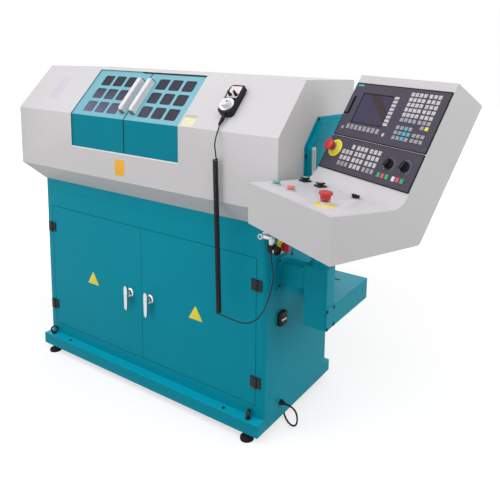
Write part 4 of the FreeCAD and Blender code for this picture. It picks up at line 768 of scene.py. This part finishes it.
def lower_grip(points):
    """The key's grip, less tall than its CAD block above the skirt."""
    u, v, n = local(points, DESK)
    n = np.where(n > 12, 12 + (n - 12) * 0.25, n)
    return carry(np.stack([u, v, n], -1), DESK)


folded("key_switch", black_plastic, "key", 0.8, 2, moved=lower_grip)
folded("override_feed", black_plastic, "override_left", 0.8, 2)
folded("override_spindle", black_plastic, "override_right", 0.8, 2)

# ------------------------------------------------------------------------------------------
# On the cabinet's right end: main switch with a red knob on its yellow plate, black interface
# box, mains gland, and the die-cast elbow socket that takes the pendant's plug.
# ------------------------------------------------------------------------------------------
folded("main_switch_knob", red_plastic, "main_switch", 1.2, 2)
folded("main_switch_plate", yellow_foil, "machine", 0.8, 2)
folded("interface_box", black_plastic, "machine", 1.5, 3)
white_tape = plain_foil("white_tape", (0.74, 0.73, 0.74))
plate("interface_strip", [(-461.5, 86), (-457.0, 121), (-450.0, 121), (-454.0, 86)], facing("+X", (17, 0, 0)),
      white_tape, "machine", 1, 0.3)
folded("mains_gland", black_plastic, "machine", 0.5, 2)
plug_shell = folded("pendant_plug", black_plastic, "machine", 0.6, 2)
cast = Finish("die_cast_metal")
die_cast = cast.lay(cast.mix(cast.noise(90.0), (0.52, 0.52, 0.51), (0.66, 0.66, 0.64)),
                    0.35 + 0.2 * cast.noise(400.0), 0.7, cast.noise(500.0), 0.0001)
eyelet = [(6.2, 0.0), (9.4, 0.0), (10.2, 0.8), (10.2, 3.6), (9.4, 4.4), (7.0, 4.4), (6.2, 3.6), (6.2, 0.0)]
turned_set("socket_ring", [(eyelet, facing("-Y", (-8, -24.6, 807)), (0, 0, 0))], die_cast, "machine",
           32)
folded("pendant_socket", die_cast, "machine", 0.6, 2,
       [(black_plastic, lambda p: (p[:, 0] > 49.5) & (p[:, 2] < 789))],
       moved=lambda p: p + np.outer(np.where(p[:, 0] < 8, 13.0, 0.0), (1, 0, 0)))

# ------------------------------------------------------------------------------------------
# Hand-wheel pendant lying on the slope: black moulded body with a cream face foil, silver
# wheel rim, white wheel hub, two slim selectors with white tips.
# ------------------------------------------------------------------------------------------
folded("pendant_body", black_plastic, "machine", 1.0, 2)
face_foil = plain_foil("cream_face_foil", (0.72, 0.64, 0.60))
plate("pendant_face", rectangle(-187, -140, 128, 180), SLOPE, face_foil, "machine", 4, 0.5, 30.0)
satin = Finish("satin_silver")
satin_silver = satin.lay(satin.mix(satin.noise(80.0), (0.56, 0.56, 0.58), (0.66, 0.66, 0.68)),
                         0.25 + 0.1 * satin.noise(300.0), 0.6)
folded("pendant_handwheel", satin_silver, "handwheel", 0.8, 3,
       [(white_plastic, lambda p: local(p, SLOPE)[2] > 35.6),
        (black_plastic, near([(-156.0, 96.5)], 4.3, SLOPE, 46.0, 48.5))])
for side in ("left", "right"):
    folded("pendant_knob_" + side, black_plastic, "pendant_selector_" + side, 0.5, 2,
           [(white_plastic, lambda p: local(p, SLOPE)[2] > 54.9)])

# ------------------------------------------------------------------------------------------
# Pendant cord: one black lead from the pendant, curled down the hood's front, then a free
# loop up to its plug. Mains cord: from the gland round under the cabinet to a coil behind.
# ------------------------------------------------------------------------------------------
TURNS, CURL_R, STEPS = 103.75, 7.85, 12
lead = [carry(np.array((-165.5, s, n)), SLOPE) for s, n in ((44, 14), (24, 14))]
lead += [carry(np.array((-164.5, 1, 6.5)), SLOPE), (-161.5, -78, 1158), (-165, -86, 1122), (-157.4, -87.5, 1094),
         (-157.4, -87.5, 1081)]
turns = np.arange(int(TURNS * STEPS) + 1) / STEPS
axis = np.array((-165.0, -80, 1070)) + (turns / TURNS)[:, None] * np.array((17.5, 0, -562))
angle = 2 * np.pi * (turns - TURNS) - np.pi / 2
curls = axis + CURL_R * np.stack([np.cos(angle), np.sin(angle), 0 * angle], -1)
loop = [(-130, -87.6, 508), (-110, -87.6, 508), (-76, -81, 500), (-36, -71, 493), (0, -59, 511),
        (26, -50, 549), (41, -40, 600), (49, -31, 650), (47, -23, 690), (33, -17, 721), (33, -17, 752)]
route = np.concatenate([lead, curls, loop])


def cord(name, route, radius, finish):
    """Round cord whose centreline is a smooth spline with the route as control points."""
    curve = bpy.data.curves.new(name, "CURVE")
    curve.dimensions, curve.bevel_depth, curve.bevel_resolution = "3D", radius / 1000, 2
    curve.resolution_u, curve.use_fill_caps = 3, True
    spline = curve.splines.new("NURBS")
    spline.points.add(len(route) - 1)
    spline.points.foreach_set("co", np.column_stack([at(*np.array(route).T), np.ones(len(route))]).ravel())
    spline.order_u, spline.use_endpoint_u = 3, True
    curve.materials.append(finish)
    piece = bpy.data.objects.new(name, curve)
    bpy.context.scene.collection.objects.link(piece)
    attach(piece, "machine")
    return piece


jacket = Finish("glossy_cord_jacket")
cord_jacket = jacket.lay(jacket.mix(jacket.noise(90.0), (0.010, 0.010, 0.012), (0.020, 0.020, 0.022)),
                         0.38 + 0.1 * jacket.noise(200.0), **{"Specular IOR Level": 0.2})
boot = [(0.01, 0.0), (7.4, 0.0), (7.2, 4.0), (5.4, 20.0), (3.9, 29.0), (2.6, 30.0), (0.01, 30.0)]
turned_set("pendant_cord_boot", [(boot, tilted(SLOPE, (-165.5, 45, 14), 90), (0, 0, 0))], black_rubber, "machine",
           32)
pendant_cord = cord("pendant_cord", route, 2.35, cord_jacket)
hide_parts("pendant_lead", "pendant_curly_cord", "pendant_cord_loop")

drop = 18.8
mains = [(22, 115, 108), (53, 115, 108), (74.9, 116, 86.1), (74.9, 120, 40.7), (53, 124, drop), (14, 141, drop),
         (-32, 188, drop), (-76, 258, drop), (-101, 342, drop), (-110, 428, drop), (-98, 502, drop),
         (-80, 548, drop), (-80, 593, drop)]
half = np.arange(0, 13.001, 1 / 12)
layer = np.clip(half - 6, 0, 1)
radius = np.where(half < 6, 50 - 4.3 * half, np.where(half < 7, 24.2, 24.2 + 4.3 * (half - 7))) / 0.967
coil = np.stack([-130 + radius * np.cos(np.pi * half), 600 + radius * np.sin(np.pi * half),
                 drop + 7.45 * layer * layer * (3 - 2 * layer)], -1)
mains_route = np.concatenate([mains, coil[1:], [(-180, 587, drop + 7.45), (-180, 574, drop + 7.45)]])
mains_cord = cord("mains_cord_run", mains_route, 3.5, black_rubber)
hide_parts("mains_cord", "mains_cord_coil")
paint_nodes(black_rubber, "mains_plug")
